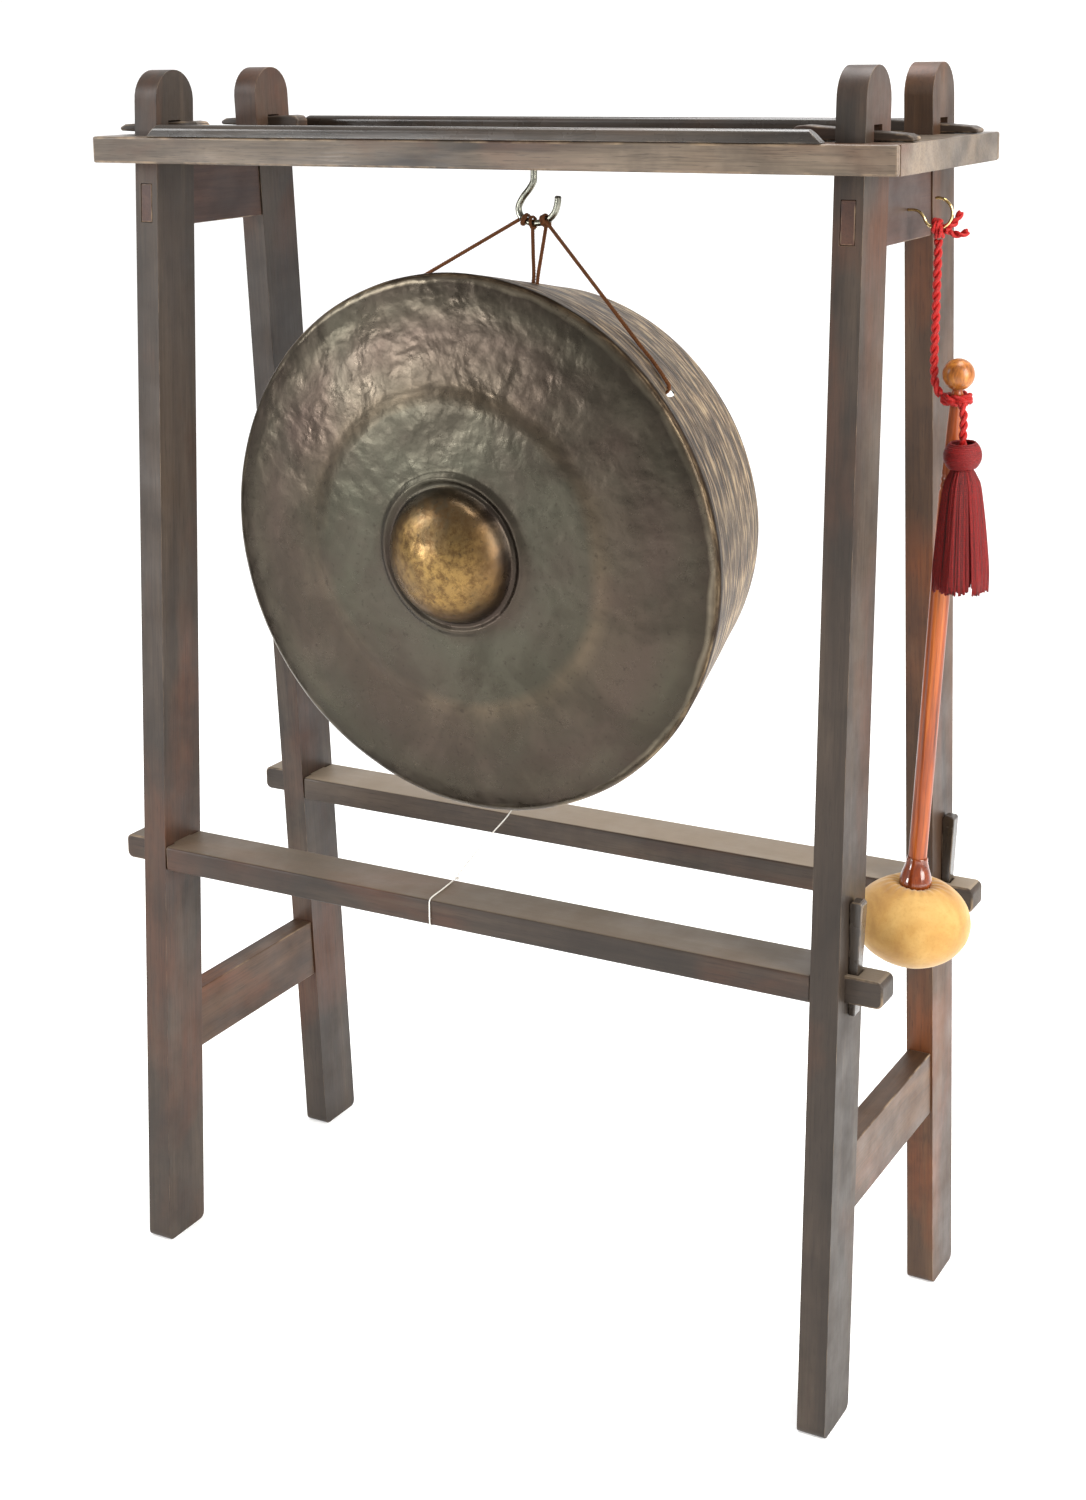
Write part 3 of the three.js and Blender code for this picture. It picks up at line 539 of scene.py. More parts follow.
def make_hooks():
    path = [hook_at(*p) for p in (
        (0, 1.031), (0, 1.008), (-0.0005, 1.002), (-0.0045, 0.9955), (-0.011, 0.988),
        (-0.0155, 0.979), (-0.013, 0.971), (-0.005, 0.9668), (0.004, 0.9663), (0.013, 0.969),
        (0.020, 0.9755), (0.023, 0.984), (0.0235, 0.990))]
    steel = Mesher()
    tip = lambda share: 0.003 * math.sqrt(max(0.5, 1 - max(0, (share - 0.992) / 0.008) ** 2))
    steel.tube(along(path, 0.0012), tip, 24)
    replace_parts(steel.piece("gong_hook_wire", "stand", ZINC, "zinc_steel"), "gong_screw_hook")
    ring = [(0.370 + 0.012 * math.cos(math.radians(a)), 0.984 + 0.012 * math.sin(math.radians(a)))
            for a in (195, 220, 245, 270, 295, 320, 345, 10, 35, 60, 85, 102)]
    line = [at(x, -0.005, z) for x, z in [(0.3453, 0.986), (0.351, 0.986), (0.355, 0.9846), *ring]]
    brass = Mesher()
    tip = lambda share: 0.0012 * math.sqrt(max(0.05, 1 - max(0, (share - 0.98) / 0.02) ** 2))
    brass.tube(along(line, 0.0008), tip, 20)
    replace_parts(brass.piece("brass_hook_wire", "stand", BRASS, "bright_brass"), "brass_hook")


make_hooks()

# ---------------------------------------------------------------- gong

GONG_TILT = math.radians(3.35)
GONG_PLACE = Matrix.Translation(at(-0.022, -0.0865, 0.6913)) @ Matrix.Rotation(GONG_TILT, 4, "X")
GONG_RADIUS, GONG_BACK, GONG_DEPTH, WALL, SHOULDER = 0.2398, 0.2034, 0.168, 0.0036, 0.010
TOP_HOLE = 9
SIDE_HOLE = 52.3


def rim_radius(depth):
    return GONG_RADIUS - (GONG_RADIUS - GONG_BACK) * (depth - SHOULDER) / (GONG_DEPTH - SHOULDER)


def rim_point(angle, depth, lift):
    turn = math.radians(angle)
    reach = rim_radius(depth) + lift
    return GONG_PLACE @ Vector((reach * math.sin(turn), depth, reach * math.cos(turn)))


def gong_outer():
    """Radius and forward pairs of the outside, from the boss's middle to the rim's back edge."""
    out = []
    for i in range(25):
        turn = math.radians(82) * i / 24
        out.append((0.058 * math.sin(turn), 0.020 + 0.036 * math.cos(turn)))
    corners = [(0.0592, 0.0214), (0.0602, 0.0196), (0.0620, 0.0188), (0.0642, 0.0191), (0.0660, 0.0202),
               (0.0680, 0.0206), (0.0700, 0.0198), (0.0722, 0.0181), (0.0745, 0.0175),
               (0.100, 0.0163), (0.126, 0.0150), (0.1315, 0.0146), (0.136, 0.0138),
               (0.140, 0.0127), (0.1445, 0.0113), (0.149, 0.0105), (0.155, 0.0099), (0.168, 0.0087),
               (0.193, 0.0059), (0.1955, 0.0055), (0.2215, 0.0019)]
    for (r0, f0), (r1, f1) in zip([out[-1], *corners], corners):
        steps = max(1, round((r1 - r0) / 0.0025))
        out.extend((r0 + (r1 - r0) * i / steps, f0 + (f1 - f0) * i / steps) for i in range(1, steps + 1))
    for i in range(13):
        turn = math.radians(90) * (0.1 + 0.9 * i / 12)
        out.append((GONG_RADIUS - SHOULDER + SHOULDER * math.sin(turn),
                    -SHOULDER + SHOULDER * math.cos(turn)))
    for i in range(1, 60):
        depth = SHOULDER + (GONG_DEPTH - SHOULDER) * i / 60
        out.append((rim_radius(depth), -depth))
    out.append((GONG_BACK + 0.0002, -GONG_DEPTH + 0.0006))
    out.append((GONG_BACK - 0.0005, -GONG_DEPTH + 0.0001))
    return out


def gong_inner():
    corners = [(GONG_BACK - WALL + 0.0005, -GONG_DEPTH + 0.0001), (GONG_BACK - WALL, -GONG_DEPTH + 0.0006),
               (GONG_RADIUS - WALL - 0.0006, -SHOULDER - 0.002), (0.2345, -0.0075), (0.2325, -0.0055),
               (0.2268, -0.0036), (0.194, 0.002), (0.142, 0.0076), (0.135, 0.0108), (0.072, 0.0138),
               (0.0635, 0.015), (0.056, 0.018), (0.0535, 0.024), (0.051, 0.030), (0.0455, 0.037),
               (0.038, 0.043), (0.029, 0.0475), (0.020, 0.0500), (0.010, 0.0518), (0, 0.0524)]
    out = [corners[0]]
    for (r0, f0), (r1, f1) in zip(corners, corners[1:]):
        steps = max(1, round(math.hypot(r1 - r0, f1 - f0) / 0.008))
        out.extend((r0 + (r1 - r0) * i / steps, f0 + (f1 - f0) * i / steps) for i in range(1, steps + 1))
    return out


def bronze():
    """Hammered bronze with a dark patina. The gong attribute is the place from the gong's own middle."""
    g = Graph("old_bronze")
    place = g.attribute("gong")
    parts = g.add("SeparateXYZ", Vector=place).outputs
    flat = g.add("CombineXYZ", X=parts["X"], Z=parts["Z"]).outputs[0]
    radius = g.add("VectorMath", {"operation": "LENGTH"}, Vector=flat).outputs["Value"]
    wander = g.math("MULTIPLY_ADD", g.noise(place, 22, 3), 0.010)
    wander.node.inputs[2].default_value = -0.005
    reach = g.math("DIVIDE", g.math("ADD", radius, wander), 0.24)
    # The lighter band at 0.585, on the step, is a painted highlight: the bright crescent the step catches
    # from the lights.
    face = g.ramp(reach, [
        (0.0, srgb(154, 124, 70)), (0.14, srgb(143, 113, 63)), (0.215, srgb(102, 78, 46)),
        (0.25, srgb(46, 37, 31)), (0.285, srgb(66, 59, 50)), (0.34, srgb(72, 69, 59)),
        (0.54, srgb(70, 66, 56)), (0.585, srgb(90, 79, 65)), (0.64, srgb(74, 65, 55)),
        (0.80, srgb(73, 63, 55)), (0.90, srgb(70, 64, 54)), (0.965, srgb(58, 51, 43)),
        (0.978, srgb(112, 103, 88)), (0.985, srgb(96, 86, 72)), (1.0, srgb(52, 44, 36))])
    wide = g.noise(place, 11, 4, 0.6, 0.8)
    face = g.mix(g.ramp(wide, [(0.40, 0.55), (0.56, 0.0)]), face, srgb(50, 45, 37))
    purple = g.noise(g.stretch(place, (1, 1, 1), (3, 1, 7)), 8, 4, 0.6, 0.4)
    face = g.mix(g.ramp(purple, [(0.48, 0.0), (0.66, 0.3)]), face, srgb(70, 56, 52))
    green = g.noise(g.stretch(place, (1, 1, 1), (9, 4, 2)), 6, 4, 0.6, 0.4)
    face = g.mix(g.ramp(green, [(0.48, 0.0), (0.68, 0.3)]), face, srgb(66, 70, 58))
    mottle = g.ramp(g.noise(place, 130, 6, 0.75), [(0.40, 0.85), (0.56, 0.0)])
    on_boss = g.ramp(reach, [(0.20, 1.0), (0.24, 0.0)])
    face = g.mix(g.math("MULTIPLY", mottle, on_boss), face, srgb(84, 62, 36))
    streaks = g.noise(g.attribute("round"), 1, 4, 0.6)
    rim = g.ramp(streaks, [
        (0.38, srgb(54, 38, 25)), (0.47, srgb(98, 78, 56)), (0.54, srgb(138, 116, 88)),
        (0.63, srgb(192, 168, 132))])
    broad = g.noise(place, 18, 3, 0.6)
    rim = g.mix(g.ramp(broad, [(0.4, 0.4), (0.6, 0.0)]), rim, srgb(84, 72, 58))
    depth = g.math("ABSOLUTE", parts["Y"])
    groove = g.ramp(g.math("DIVIDE", depth, 0.03), [
        (0.20, 0.0), (0.26, 1.0), (0.33, 1.0), (0.42, 0.45), (0.5, 0.9), (0.58, 0.0)])
    rim = g.mix(groove, rim, srgb(62, 50, 40))
    colour = g.mix(g.attribute("rim", "Fac"), face, rim)
    colour = g.mix(g.attribute("inside", "Fac"), colour, srgb(70, 58, 46))
    specks = g.noise(place, 210, 3, 0.6)
    colour = g.mix(g.ramp(specks, [(0.28, 0.5), (0.4, 0.0)]), colour, srgb(46, 40, 34))
    shine = g.ramp(g.noise(place, 30, 4, 0.6), [(0.3, 0.22), (0.7, 0.4)])
    shine = g.mix(g.attribute("rim", "Fac"), shine, (0.5, 0.5, 0.5))
    dents = g.cells(g.attribute("beaten"), 1.0, 0.7)
    hammered = g.bump(dents, 0.4, 0.0014)
    upper = g.ramp(g.math("MULTIPLY_ADD", parts["Z"], 2.0), [(0.3, 0.12), (0.72, 1.0)])
    upper.node.inputs[0].links[0].from_node.inputs[2].default_value = 0.45
    wavy = g.math("MULTIPLY", g.noise(place, 27, 3, 0.5, 0.25), upper)
    hammered = g.bump(wavy, 0.45, 0.005, hammered)
    ridges = g.math("MULTIPLY", streaks, g.attribute("rim", "Fac"))
    hammered = g.bump(ridges, 0.7, 0.0022, hammered)
    fine = g.bump(g.noise(place, 150, 4, 0.65), 0.3, 0.0007, hammered)
    return g.surface(Base_Color=colour, Metallic=0.86, Roughness=shine, Normal=fine)


def make_gong():
    outline = [*gong_outer(), *gong_inner()]
    turn = Matrix(((1, 0, 0, 0), (0, 0, -1, 0), (0, 1, 0, 0), (0, 0, 0, 1)))
    verts, faces = lathe(outline, 256, turn)
    gong = new_piece("gong_bronze", verts, faces, None, bronze())
    cutters = []
    for angle, depth, radius in ((SIDE_HOLE, 0.0393, 0.0036), (-SIDE_HOLE, 0.0393, 0.005),
                                 (TOP_HOLE, 0.085, 0.0052), (174, 0.020, 0.0016)):
        line = [Vector((0, 0, h)) for h in (-0.016, 0.016)]
        drill = Mesher()
        drill.tube(line, radius, 24)
        cutter = new_piece("drill", drill.verts, drill.faces, None, gong.data.materials[0], False)
        reach = rim_radius(depth) - WALL / 2
        a = math.radians(angle)
        lean = Matrix.Rotation(math.radians(62 if angle == SIDE_HOLE else 0), 4, "X")
        cutter.matrix_world = (Matrix.Translation((reach * math.sin(a), depth, reach * math.cos(a)))
                               @ Matrix.Rotation(a, 4, "Y") @ lean)
        cut = gong.modifiers.new("hole", "BOOLEAN")
        cut.operation = "DIFFERENCE"
        cut.solver = "EXACT"
        cut.object = cutter
        cutters.append(cutter)
    applied(gong)
    for cutter in cutters:
        bpy.data.objects.remove(cutter)
    data = gong.data
    data.polygons.foreach_set("use_smooth", [True] * len(data.polygons))
    data.set_sharp_from_angle(angle=math.radians(50))
    layers = {name: [] for name in ("gong", "round", "beaten", "rim", "inside")}
    outside = gong_outer()
    for vertex in data.vertices:
        p = vertex.co.copy()
        r, depth, angle = math.hypot(p.x, p.z), p.y, math.atan2(p.x, p.z)
        on_rim = min(1, max(0, (depth - 0.002) / 0.006))
        if depth > 0.012:
            inner = r < rim_radius(depth) - WALL * 0.5
        else:
            nearest = min(outside[:150], key=lambda q: abs(q[0] - r))
            inner = -depth < nearest[1] - WALL * 0.4 and r < GONG_RADIUS - 0.003
        layers["gong"].append(tuple(p))
        layers["round"].append((math.sin(angle) * 8, depth * 190, math.cos(angle) * 8))
        across, back = (74, 46) if on_rim < 0.5 else (48, 34)
        layers["beaten"].append((p.x * across, depth * back, p.z * across))
        layers["rim"].append(on_rim)
        layers["inside"].append(float(inner))
        dent = noise.noise(p * 14) * 0.0006 + noise.noise(p * 34) * 0.0003
        if not inner:
            outward = Vector((p.x, 0, p.z)).normalized() * on_rim + Vector((0, -1, 0)) * (1 - on_rim)
            vertex.co = p + outward * (dent - 0.0004)
    for name, values in layers.items():
        set_layer(data, name, values)
    data.transform(GONG_PLACE)
    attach(gong, "gong")
    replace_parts(gong, "gong")


make_gong()

# ---------------------------------------------------------------- brown cords

BROWN = yarn("brown_cord", srgb(84, 48, 26), srgb(156, 98, 56), 5, 0.25)
CORD = 0.0036
RIDE = CORD / 2 + 0.0004


def share(a, b, t):
    return a.lerp(b, t)


def side_cord_path(side):
    start = hook_at(-0.0125, 0.9692, -0.0046) if side < 0 else hook_at(0.0135, 0.9686, -0.0046)
    lying = ([(30, 0.062), (36, 0.056), (42, 0.0495), (47, 0.0435), (49.8, 0.0404)] if side < 0
             else [(41, 0.053), (44.5, 0.0485), (47.5, 0.044), (49, 0.0416), (50, 0.0404)])
    lying = [rim_point(side * a, d, RIDE) for a, d in lying]
    return [start, share(start, lying[0], 0.33), share(start, lying[0], 0.66), *lying,
            rim_point(side * 50.9, 0.0393, RIDE - 0.0003), rim_point(side * 51.5, 0.0392, -0.0006),
            rim_point(side * 51.6, 0.039, -0.0045), rim_point(side * 51.5, 0.039, -0.0085)]


def top_cord_path(side):
    start = hook_at(-0.0015 if side < 0 else 0.012, 0.9628 if side < 0 else 0.9645, -0.001)
    aside = Vector((side * (CORD / 2 + 0.00025), 0, 0))
    lifts = (0.006, 0, -0.006, -0.009)
    mouth, inside, back, end = [rim_point(TOP_HOLE, 0.085, lift) + aside for lift in lifts]
    return [start, share(start, mouth, 0.5), mouth, inside, back, end]


def knotted(middle, matrix, size, diameter, pitch, mesher):
    """An overhand knot's closed line, pulled tight, as rope."""
    line = []
    for i in range(73):
        t = 2 * math.pi * i / 72
        line.append(Vector((math.sin(t) + 2 * math.sin(2 * t), math.cos(t) - 2 * math.cos(2 * t),
                            -1.6 * math.sin(3 * t))) * (size / 3))
    mesher.rope([middle + matrix @ p for p in line], diameter, pitch, 3, 8)


def coil_round(middle, axis, radius, width, turns, diameter, pitch, mesher, strands=3):
    """Turns of cord wound round an axis."""
    axis = axis.normalized()
    u = axis.orthogonal().normalized()
    v = axis.cross(u)
    count = round(turns * 26)
    line = []
    for i in range(count + 1):
        t = i / count
        turn = 2 * math.pi * turns * t
        line.append(middle + (u * math.cos(turn) + v * math.sin(turn)) * radius
                    + axis * width * (t - 0.5))
    mesher.rope(line, diameter, pitch, strands, 8)


def make_brown_cords():
    top_knot = Mesher()
    hole_turn = math.radians(TOP_HOLE)
    into = GONG_PLACE.to_3x3() @ Vector((math.sin(hole_turn), 0, math.cos(hole_turn)))
    knotted(rim_point(TOP_HOLE, 0.085, -0.0144), into.to_track_quat("Z", "Y").to_matrix(), 0.0044, 0.0036,
            0.006, top_knot)
    top_knot = top_knot.piece("rim_knot_top_tied", "gong", BROWN, "brown_cord")
    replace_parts(top_knot, "rim_knot_top")
    wire = {"left": (hook_at(-0.009, 0.9686), 118), "right": (hook_at(0.010, 0.9679), 68)}
    for side, name in ((-1, "left"), (1, "right")):
        middle, lean = wire[name]
        turn = math.radians(lean)
        axis = Vector((math.sin(turn), 0, math.cos(turn)))
        hitch = Mesher()
        coil_round(middle, axis, 0.0050, 0.0030, 1.5, 0.0026, 0.006, hitch)
        strand = hook_at(-0.0015 if side < 0 else 0.012, 0.9663 if side < 0 else 0.9686)
        slope = Vector((1, 0, 0.08 + 0.25 * (side > 0)))
        coil_round(strand, slope, 0.0052, 0.0004, 1.0, 0.0030, 0.0075, hitch)
        hitch = hitch.piece(f"hook_hitch_{name}_turns", "gong", BROWN, "brown_cord")
        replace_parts(hitch, f"hook_hitch_{name}")
        knot = Mesher()
        into = (GONG_PLACE.to_3x3() @ Vector((math.sin(math.radians(side * 52.8)), 0,
                                              math.cos(math.radians(side * 52.8)))))
        knotted(rim_point(side * 51.4, 0.0393, -0.0130), into.to_track_quat("Z", "Y").to_matrix(), 0.0036,
                0.0034, 0.006, knot)
        knot = knot.piece(f"rim_knot_{name}_tied", "gong", BROWN, "brown_cord")
        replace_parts(knot, f"rim_knot_{name}")
        for kind, path, extra in (("side", side_cord_path(side), [hitch, knot]),
                                  ("top", top_cord_path(side), [top_knot] if side > 0 else [])):
            line = along(path, 0.0007)
            cord = Mesher()
            cord.rope(line, CORD, 0.0075, 3, 8)
            cord = cord.piece(f"{kind}_cord_{name}_rope", "gong", BROWN, "brown_cord")
            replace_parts(cord, f"{kind}_cord_{name}")


make_brown_cords()

# ---------------------------------------------------------------- white tether thread

WHITE = yarn("white_thread", srgb(214, 208, 198), srgb(246, 244, 238), 3, 0.2, 0.8)
THREAD = 0.0012


def make_tether():
    low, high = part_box("front_long_rail")
    leg_low, leg_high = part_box("front_tusk_wedge")
    middle = (leg_low.y + leg_high.y) / 2
    front, back = middle - 0.026, middle + 0.026
    top, under = high.z, low.z
    off = THREAD / 2 + 0.0005
    x0 = -0.035
    loop = [at(x0 - 0.002, back - 0.006, top + off), at(x0, back - 0.026, top + off),
            at(x0 + 0.0018, front + 0.004, top + off), at(x0 + 0.0021, front + 0.001, top + off - 0.0007),
            at(x0 + 0.0023, front - off + 0.0007, top - 0.001), at(x0 + 0.0025, front - off, top - 0.004),
            at(x0 + 0.0025, front - off, under + 0.004), at(x0 + 0.0024, front - off + 0.0007, under + 0.001),
            at(x0 + 0.0022, front + 0.001, under - off + 0.0007), at(x0 + 0.002, front + 0.004, under - off),
            at(x0 - 0.001, back - 0.004, under - off), at(x0 - 0.0013, back - 0.001, under - off + 0.0007),
            at(x0 - 0.0016, back + off - 0.0007, under + 0.001), at(x0 - 0.0018, back + off, under + 0.004),
            at(x0 - 0.0022, back + off, top - 0.005)]
    knot_at = at(x0 - 0.0026, back + 0.0014, top + 0.0008)
    turn = Mesher()
    line = along(loop, 0.0012)
    turn.tube(line, THREAD / 2, 8)
    knot = Mesher()
    knotted(knot_at, Matrix.Identity(3), 0.0017, THREAD, 0.003, knot)
    knot = knot.piece("tether_knot_tied", "stand", WHITE, "white_thread")
    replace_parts(knot, "tether_knot")
    turn = turn.piece("tether_turn", "stand", WHITE, "white_thread")
    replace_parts(turn, "tether_loop")
    top_end = rim_point(174, 0.020, -WALL - 0.002)
    exit_at = rim_point(174, 0.020, 0.004)
    foot = knot_at + Vector((0.0006, 0.0003, 0.0026))
    line = along([top_end, exit_at, share(exit_at, foot, 0.5), foot], 0.0015)
    span = Mesher()
    span.tube(line, THREAD / 2, 8)
    span = span.piece("tether_span", None, WHITE, "white_thread")
    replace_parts(span, "tether_thread")
    stop = Mesher()
    knotted(rim_point(174, 0.020, -WALL - 0.0044), Matrix.Identity(3), 0.0018, THREAD, 0.003, stop)
    stop = stop.piece("tether_stop_tied", "gong", WHITE, "white_thread")
    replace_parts(stop, "tether_stop")
    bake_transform(span)


make_tether()

# ---------------------------------------------------------------- mallet

MALLET_PLACE = Matrix.Translation(at(0.3598, -0.0065, 0.3959)) @ Matrix.Rotation(math.radians(3.78), 4, "Y")
HEAD_RADIUS, HEAD_HALF = 0.049, 0.0372
NECK_Z = 0.4429


def turned_wood(name, dark, middle, light, rough, coat, stretch):
    """Turned, varnished wood; the grain attribute runs along the handle."""
    g = Graph(name)
    grain = g.attribute("grain")
    bands = g.noise(g.stretch(grain, stretch), 1, 5, 0.6, 0.6)
    colour = g.ramp(bands, [(0.3, dark), (0.5, middle), (0.7, light)])
    lines = g.noise(g.stretch(grain, (18, 700, 700)), 1, 3, 0.6)
    colour = g.mix(g.ramp(lines, [(0.35, 0.5), (0.5, 0.0)]), colour, dark)
    shine = g.ramp(g.noise(grain, 60, 3), [(0.3, rough * 0.85), (0.7, rough * 1.2)])
    return g.surface(Base_Color=colour, Roughness=shine, Normal=g.bump(lines, 0.12, 0.0003),
                     Coat_Weight=coat, Coat_Roughness=0.12, Specular_IOR_Level=0.35)


def turned_piece(name, profile, segments, material, slot, *nodes):
    verts, faces = lathe(profile, segments, Matrix.Identity(4))
    piece = new_piece(name, [MALLET_PLACE @ v for v in verts], faces, "mallet", material)
    set_layer(piece.data, "grain", [(v.z, v.x, v.y) for v in verts])
    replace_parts(piece, *nodes)
    return piece


def chamois():
    g = Graph("chamois")
    place = g.add("TexCoord").outputs["Object"]
    patches = g.noise(place, 26, 4, 0.55, 0.5)
    colour = g.ramp(patches, [
        (0.3, srgb(142, 102, 48)), (0.5, srgb(166, 126, 64)), (0.72, srgb(182, 146, 84))])
    soft = g.noise(place, 420, 4, 0.7)
    colour = g.mix(g.ramp(soft, [(0.3, 0.3), (0.5, 0.0)]), colour, srgb(138, 96, 46))
    relief = g.bump(soft, 0.25, 0.0004)
    relief = g.bump(g.noise(place, 60, 3), 0.2, 0.0015, relief)
    return g.surface(Base_Color=colour, Roughness=0.85, Normal=relief, Sheen_Weight=0.3,
                     Sheen_Roughness=0.4, Subsurface_Weight=0.05, Subsurface_Scale=0.004)


def make_head():
    """The padded head: a closed skin, blown out a little by cloth pressure against its own cut."""
    steps = 36
    outline = [(0, -HEAD_HALF)]
    for i in range(1, steps + 1):
        turn = -math.pi / 2 + math.radians(152) * i / steps
        outline.append((HEAD_RADIUS * math.cos(turn), HEAD_HALF * math.sin(turn)))
    outline.extend([(0.0212, 0.0334), (0.0195, 0.0337), (0.0162, 0.0336), (0.0145, 0.0328), (0.0137, 0.0312),
                    (0.008, 0.0308), (0, 0.0308)])
    verts, faces = lathe(outline, 64, Matrix.Identity(4))
    head = new_piece("mallet_head_chamois", verts, faces, None, chamois())
    remesh = head.modifiers.new("even", "REMESH")
    remesh.mode = "VOXEL"
    remesh.voxel_size = 0.0036
    applied(head)
    puff(head)
    smooth = head.modifiers.new("smooth", "SUBSURF")
    smooth.levels = smooth.render_levels = 2
    applied(head)
    data = head.data
    for vertex in data.vertices:
        p = vertex.co
        near = min(1, max(0, 1 - (p.xy.length - 0.014) / 0.02)) if p.z > 0.02 else 0
        angle = math.atan2(p.y, p.x)
        fold = math.sin(angle * 19 + 3 * noise.noise(p * 50)) * 0.0005 * near
        vertex.co = p + p.normalized() * (fold + noise.noise(p * 30) * 0.0006)
    data.polygons.foreach_set("use_smooth", [True] * len(data.polygons))
    data.transform(MALLET_PLACE)
    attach(head, "mallet")
    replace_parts(head, "mallet_head_cover", "mallet_head_core")


def puff(head):
    """Cloth pressure for a few frames, with the skin held at the collar, and a cap on how far it moves."""
    before = [v.co.copy() for v in head.data.vertices]
    held = head.vertex_groups.new(name="held")
    held.add([v.index for v in head.data.vertices if v.co.z > 0.0325 or v.co.z < -0.036], 1, "REPLACE")
    cloth = head.modifiers.new("cloth", "CLOTH")
    s = cloth.settings
    s.use_pressure = True
    s.uniform_pressure_force = 4
    s.effector_weights.gravity = 0
    s.vertex_group_mass = "held"
    s.quality = 5
    s.mass = 0.1
    cloth.point_cache.frame_start, cloth.point_cache.frame_end = 1, 20
    for i in range(1, 21):
        scene.frame_set(i)
    applied(head)
    scene.frame_set(1)
    for vertex, rest in zip(head.data.vertices, before):
        move = vertex.co - rest
        if move.length > 0.0012:
            move *= 0.0012 / move.length
        vertex.co = rest + move


def make_mallet():
    handle = turned_wood("handle_wood", srgb(74, 30, 8), srgb(140, 62, 14), srgb(172, 92, 28), 0.34, 0.22,
                         (7, 120, 120))
    knob = turned_wood("knob_wood", srgb(82, 42, 12), srgb(148, 86, 30), srgb(180, 118, 52), 0.36, 0.2,
                       (60, 160, 160))
    lacquer = turned_wood("collar_lacquer", srgb(74, 26, 6), srgb(112, 46, 12), srgb(150, 74, 24), 0.16, 0.7,
                          (20, 90, 90))
    profile = [(0, 0), (0.006, 0), (0.006, 0.031), (0.0076, 0.0316), (0.0078, 0.197), (0.0081, 0.297),
               (0.0078, 0.3675), (0.0068, 0.3695), (0.0073, 0.3715), (0.0074, 0.3725), (0.0067, 0.375),
               (0.0071, 0.3770), (0.0072, 0.378), (0.0065, 0.3805), (0.0069, 0.3820), (0.0070, 0.383),
               (0.0068, 0.388), (0.0065, 0.395), (0.0056, 0.422), (0.005, 0.437), (0.005, 0.448),
               (0.0042, 0.449), (0.0042, 0.459), (0, 0.459)]
    turned_piece("mallet_handle_turned", rounded(profile), 40, handle, "orange_wood", "mallet_handle")
    ball = []
    for i in range(25):
        turn = math.radians(157 - i * 157 / 24)
        ball.append((0.0128 * math.sin(turn), 0.4628 + 0.0128 * math.cos(turn)))
    ball[-1] = (0, ball[-1][1])
    turned_piece("mallet_knob_turned", [(0, ball[0][1]), *ball], 40, knob, "orange_wood", "mallet_knob")
    collar = [(0.0082, 0.0312), (0.0127, 0.0312), (0.0133, 0.0326), (0.0136, 0.0345), (0.0133, 0.0372),
              (0.0124, 0.0408), (0.0114, 0.0440), (0.0102, 0.0474), (0.0094, 0.0504), (0.0089, 0.053),
              (0.0087, 0.0556), (0.0084, 0.0565), (0.0082, 0.0565)]
    turned_piece("mallet_collar_turned", rounded(collar, 0.0004), 48, lacquer, "red_lacquer", "mallet_collar")
    make_head()


make_mallet()

# ---------------------------------------------------------------- red cord and tassel

RED = yarn("red_cord", srgb(106, 4, 6), srgb(204, 28, 20), 6, 0.1, 0.5)
RED_FRINGE = yarn("red_fringe", srgb(48, 2, 3), srgb(164, 14, 12), 3, 0.0, 0.55)
RED_CORD, TASSEL_CORD = 0.0072, 0.0068
RING_X, RING_Z = 0.370, 0.972


def make_red_cord():
    wrap_at = MALLET_PLACE @ Vector((0, 0, NECK_Z))
    axis = MALLET_PLACE.to_3x3() @ Vector((0, 0, 1))
    wrap = Mesher()
    coil_round(wrap_at, axis, 0.0098, 0.0062, 2.2, 0.0072, 0.017, wrap, 2)
    wrap = wrap.piece("neck_wrap_turns", "mallet", RED, "red_cord")
    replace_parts(wrap, "neck_wrap")
    hitch = Mesher()
    knot_at = at(RING_X + 0.001, -0.005, RING_Z)
    coil_round(knot_at, Vector((1, 0.15, 0)), 0.0056, 0.0056, 1.9, 0.0066, 0.016, hitch, 2)
    hitch = hitch.piece("red_hitch_turns", "stand", RED, "red_cord")
    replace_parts(hitch, "red_hitch")
    tails = (((0.006, 0.0, 0.0005), (0.0104, 0.003, 0.002), (0.0135, 0.007, 0.007), (0.016, 0.009, 0.0125)),
             ((0.006, 0.0030, -0.0010), (0.0104, 0.0062, -0.0042), (0.017, 0.0075, -0.005),
              (0.022, 0.009, -0.0025)))
    for i, tail in enumerate(tails):
        end = Mesher()
        route = [at(RING_X + x, -0.005 + y, RING_Z + z) for x, y, z in tail]
        end.rope(along(route, 0.0008), 0.0062, 0.015, 2)
        end = end.piece(f"red_cord_end_{i + 1}_rope", "stand", RED, "red_cord")
        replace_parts(end, f"red_cord_end_{i + 1}")
    top = at(RING_X + 0.001, -0.005, RING_Z - 0.0093)
    bends = ((-0.0188, -0.0055, 0.062), (-0.0190, -0.0065, 0.028), (-0.0172, -0.0085, 0.013),
             (-0.0118, -0.0118, 0.003))
    line = along([top, *(wrap_at + Vector((x, y - wrap_at.y, z)) for x, y, z in bends)], 0.001)
    hanging = Mesher()
    hanging.rope(line, RED_CORD, 0.017, 2, 12)
    hanging = hanging.piece("red_hanging_rope", "mallet_hanger", RED, "red_cord")
    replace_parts(hanging, "red_hanging_cord")


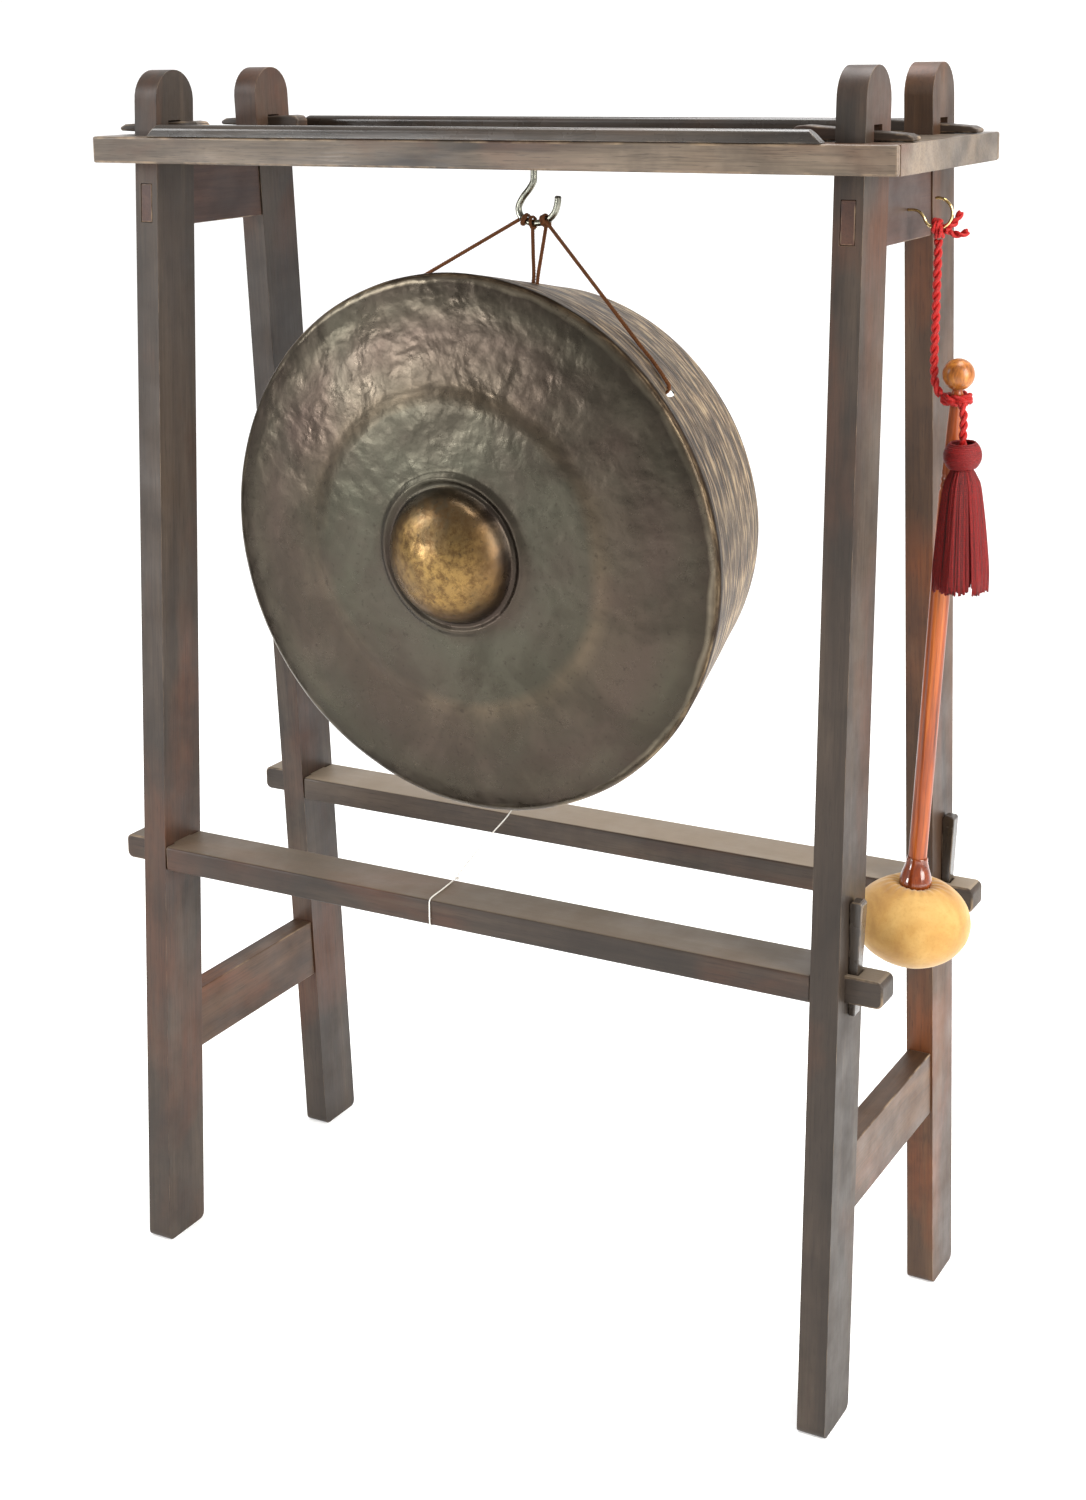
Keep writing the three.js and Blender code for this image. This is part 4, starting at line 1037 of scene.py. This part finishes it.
def make_tassel():
    random.seed(11)
    wrap_at = MALLET_PLACE @ Vector((0, 0, NECK_Z))
    middle = at(0.402, -0.028, 0)
    top = Vector((wrap_at.x + 0.0093, wrap_at.y - 0.0146, wrap_at.z - 0.001))
    foot = Vector((middle.x, middle.y, 0.8097))
    line = along([top, share(top, foot, 0.35) + Vector((0.0015, -0.001, 0)),
                  share(top, foot, 0.7) + Vector((0.0008, -0.0005, 0)), foot,
                  foot - Vector((0, 0, 0.016)), foot - Vector((0, 0, 0.032))], 0.0008)
    cord = Mesher()
    cord.rope(line, TASSEL_CORD, 0.016, 2, 12)
    cord = cord.piece("tassel_rope", "tassel", RED, "red_cord")
    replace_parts(cord, "tassel_cord")
    ring = Mesher()
    for turn in range(15):
        rise = turn / 14
        height = 0.7885 + 0.0180 * rise
        reach = 0.0068 + 0.0074 * math.sin(math.pi * (0.12 + 0.80 * rise)) ** 0.6
        ring.shade = 0.35 * random.random()
        circle = []
        for i in range(64):
            a = 2 * math.pi * i / 64
            circle.append(middle + Vector((reach * math.cos(a), reach * math.sin(a),
                                           height + 0.0007 * math.sin(a + 0.4))))
        ring.tube(circle, 0.0011, 10, True)
    ring = ring.piece("tassel_ring", "tassel", RED_FRINGE, "red_cord")
    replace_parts(ring, "tassel_knot")
    profile = [(0.0045, 0.7950), (0.0070, 0.7905), (0.0078, 0.787), (0.0100, 0.783), (0.0138, 0.775),
               (0.0164, 0.759), (0.0196, 0.730), (0.0218, 0.701), (0.0216, 0.690)]
    fringe = Mesher()
    for i in range(460):
        angle = 2 * math.pi * random.random()
        inner = 1 if i % 4 else 0.74
        fringe.shade = random.random() ** 2 * 0.9
        drop = random.uniform(-0.002, 0.006)
        sway = random.uniform(-0.05, 0.05)
        strand = []
        for k, (r, z) in enumerate(profile):
            t = k / (len(profile) - 1)
            a = angle + sway * t + 0.03 * math.sin(5 * t + i)
            rr = r * inner * (1 + 0.04 * math.sin(angle * 7) * t) - 0.0006
            strand.append(middle + Vector((rr * math.cos(a), rr * math.sin(a), z + drop * t * t)))
        fringe.tube(along(strand, 0.006), 0.0008, 5)
    fringe = fringe.piece("tassel_fringe", "tassel", RED_FRINGE, "red_cord")
    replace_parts(fringe, "tassel_skirt")


make_red_cord()
make_tassel()

# ---------------------------------------------------------------- floor


def make_floor():
    """A white sweep: flat underfoot, curving up behind."""
    g = Graph("pale_floor")
    place = g.add("TexCoord").outputs["Object"]
    tone = g.ramp(g.noise(place, 3, 2), [(0.3, 0.86), (0.7, 0.88)])
    material = g.surface(Base_Color=tone, Roughness=0.9, Emission_Color=(1, 1, 1), Emission_Strength=0.28)
    bend = 1.6
    line = [(-14.0, 0.0), (2.6, 0.0)]
    line += [(2.6 + bend * math.sin(math.radians(a)), bend - bend * math.cos(math.radians(a)))
             for a in range(6, 91, 6)]
    line.append((2.6 + bend, 7.0))
    verts = [(x, y, z) for x in (-14.0, 14.0) for y, z in line]
    count = len(line)
    faces = [(i, count + i, count + i + 1, i + 1) for i in range(count - 1)]
    data = bpy.data.meshes.new("floor")
    data.from_pydata(verts, [], faces)
    data.polygons.foreach_set("use_smooth", [True] * len(data.polygons))
    data.materials.append(material)
    floor = bpy.data.objects.new("floor", data)
    floor.location.z = -0.0002
    scene.collection.objects.link(floor)


make_floor()
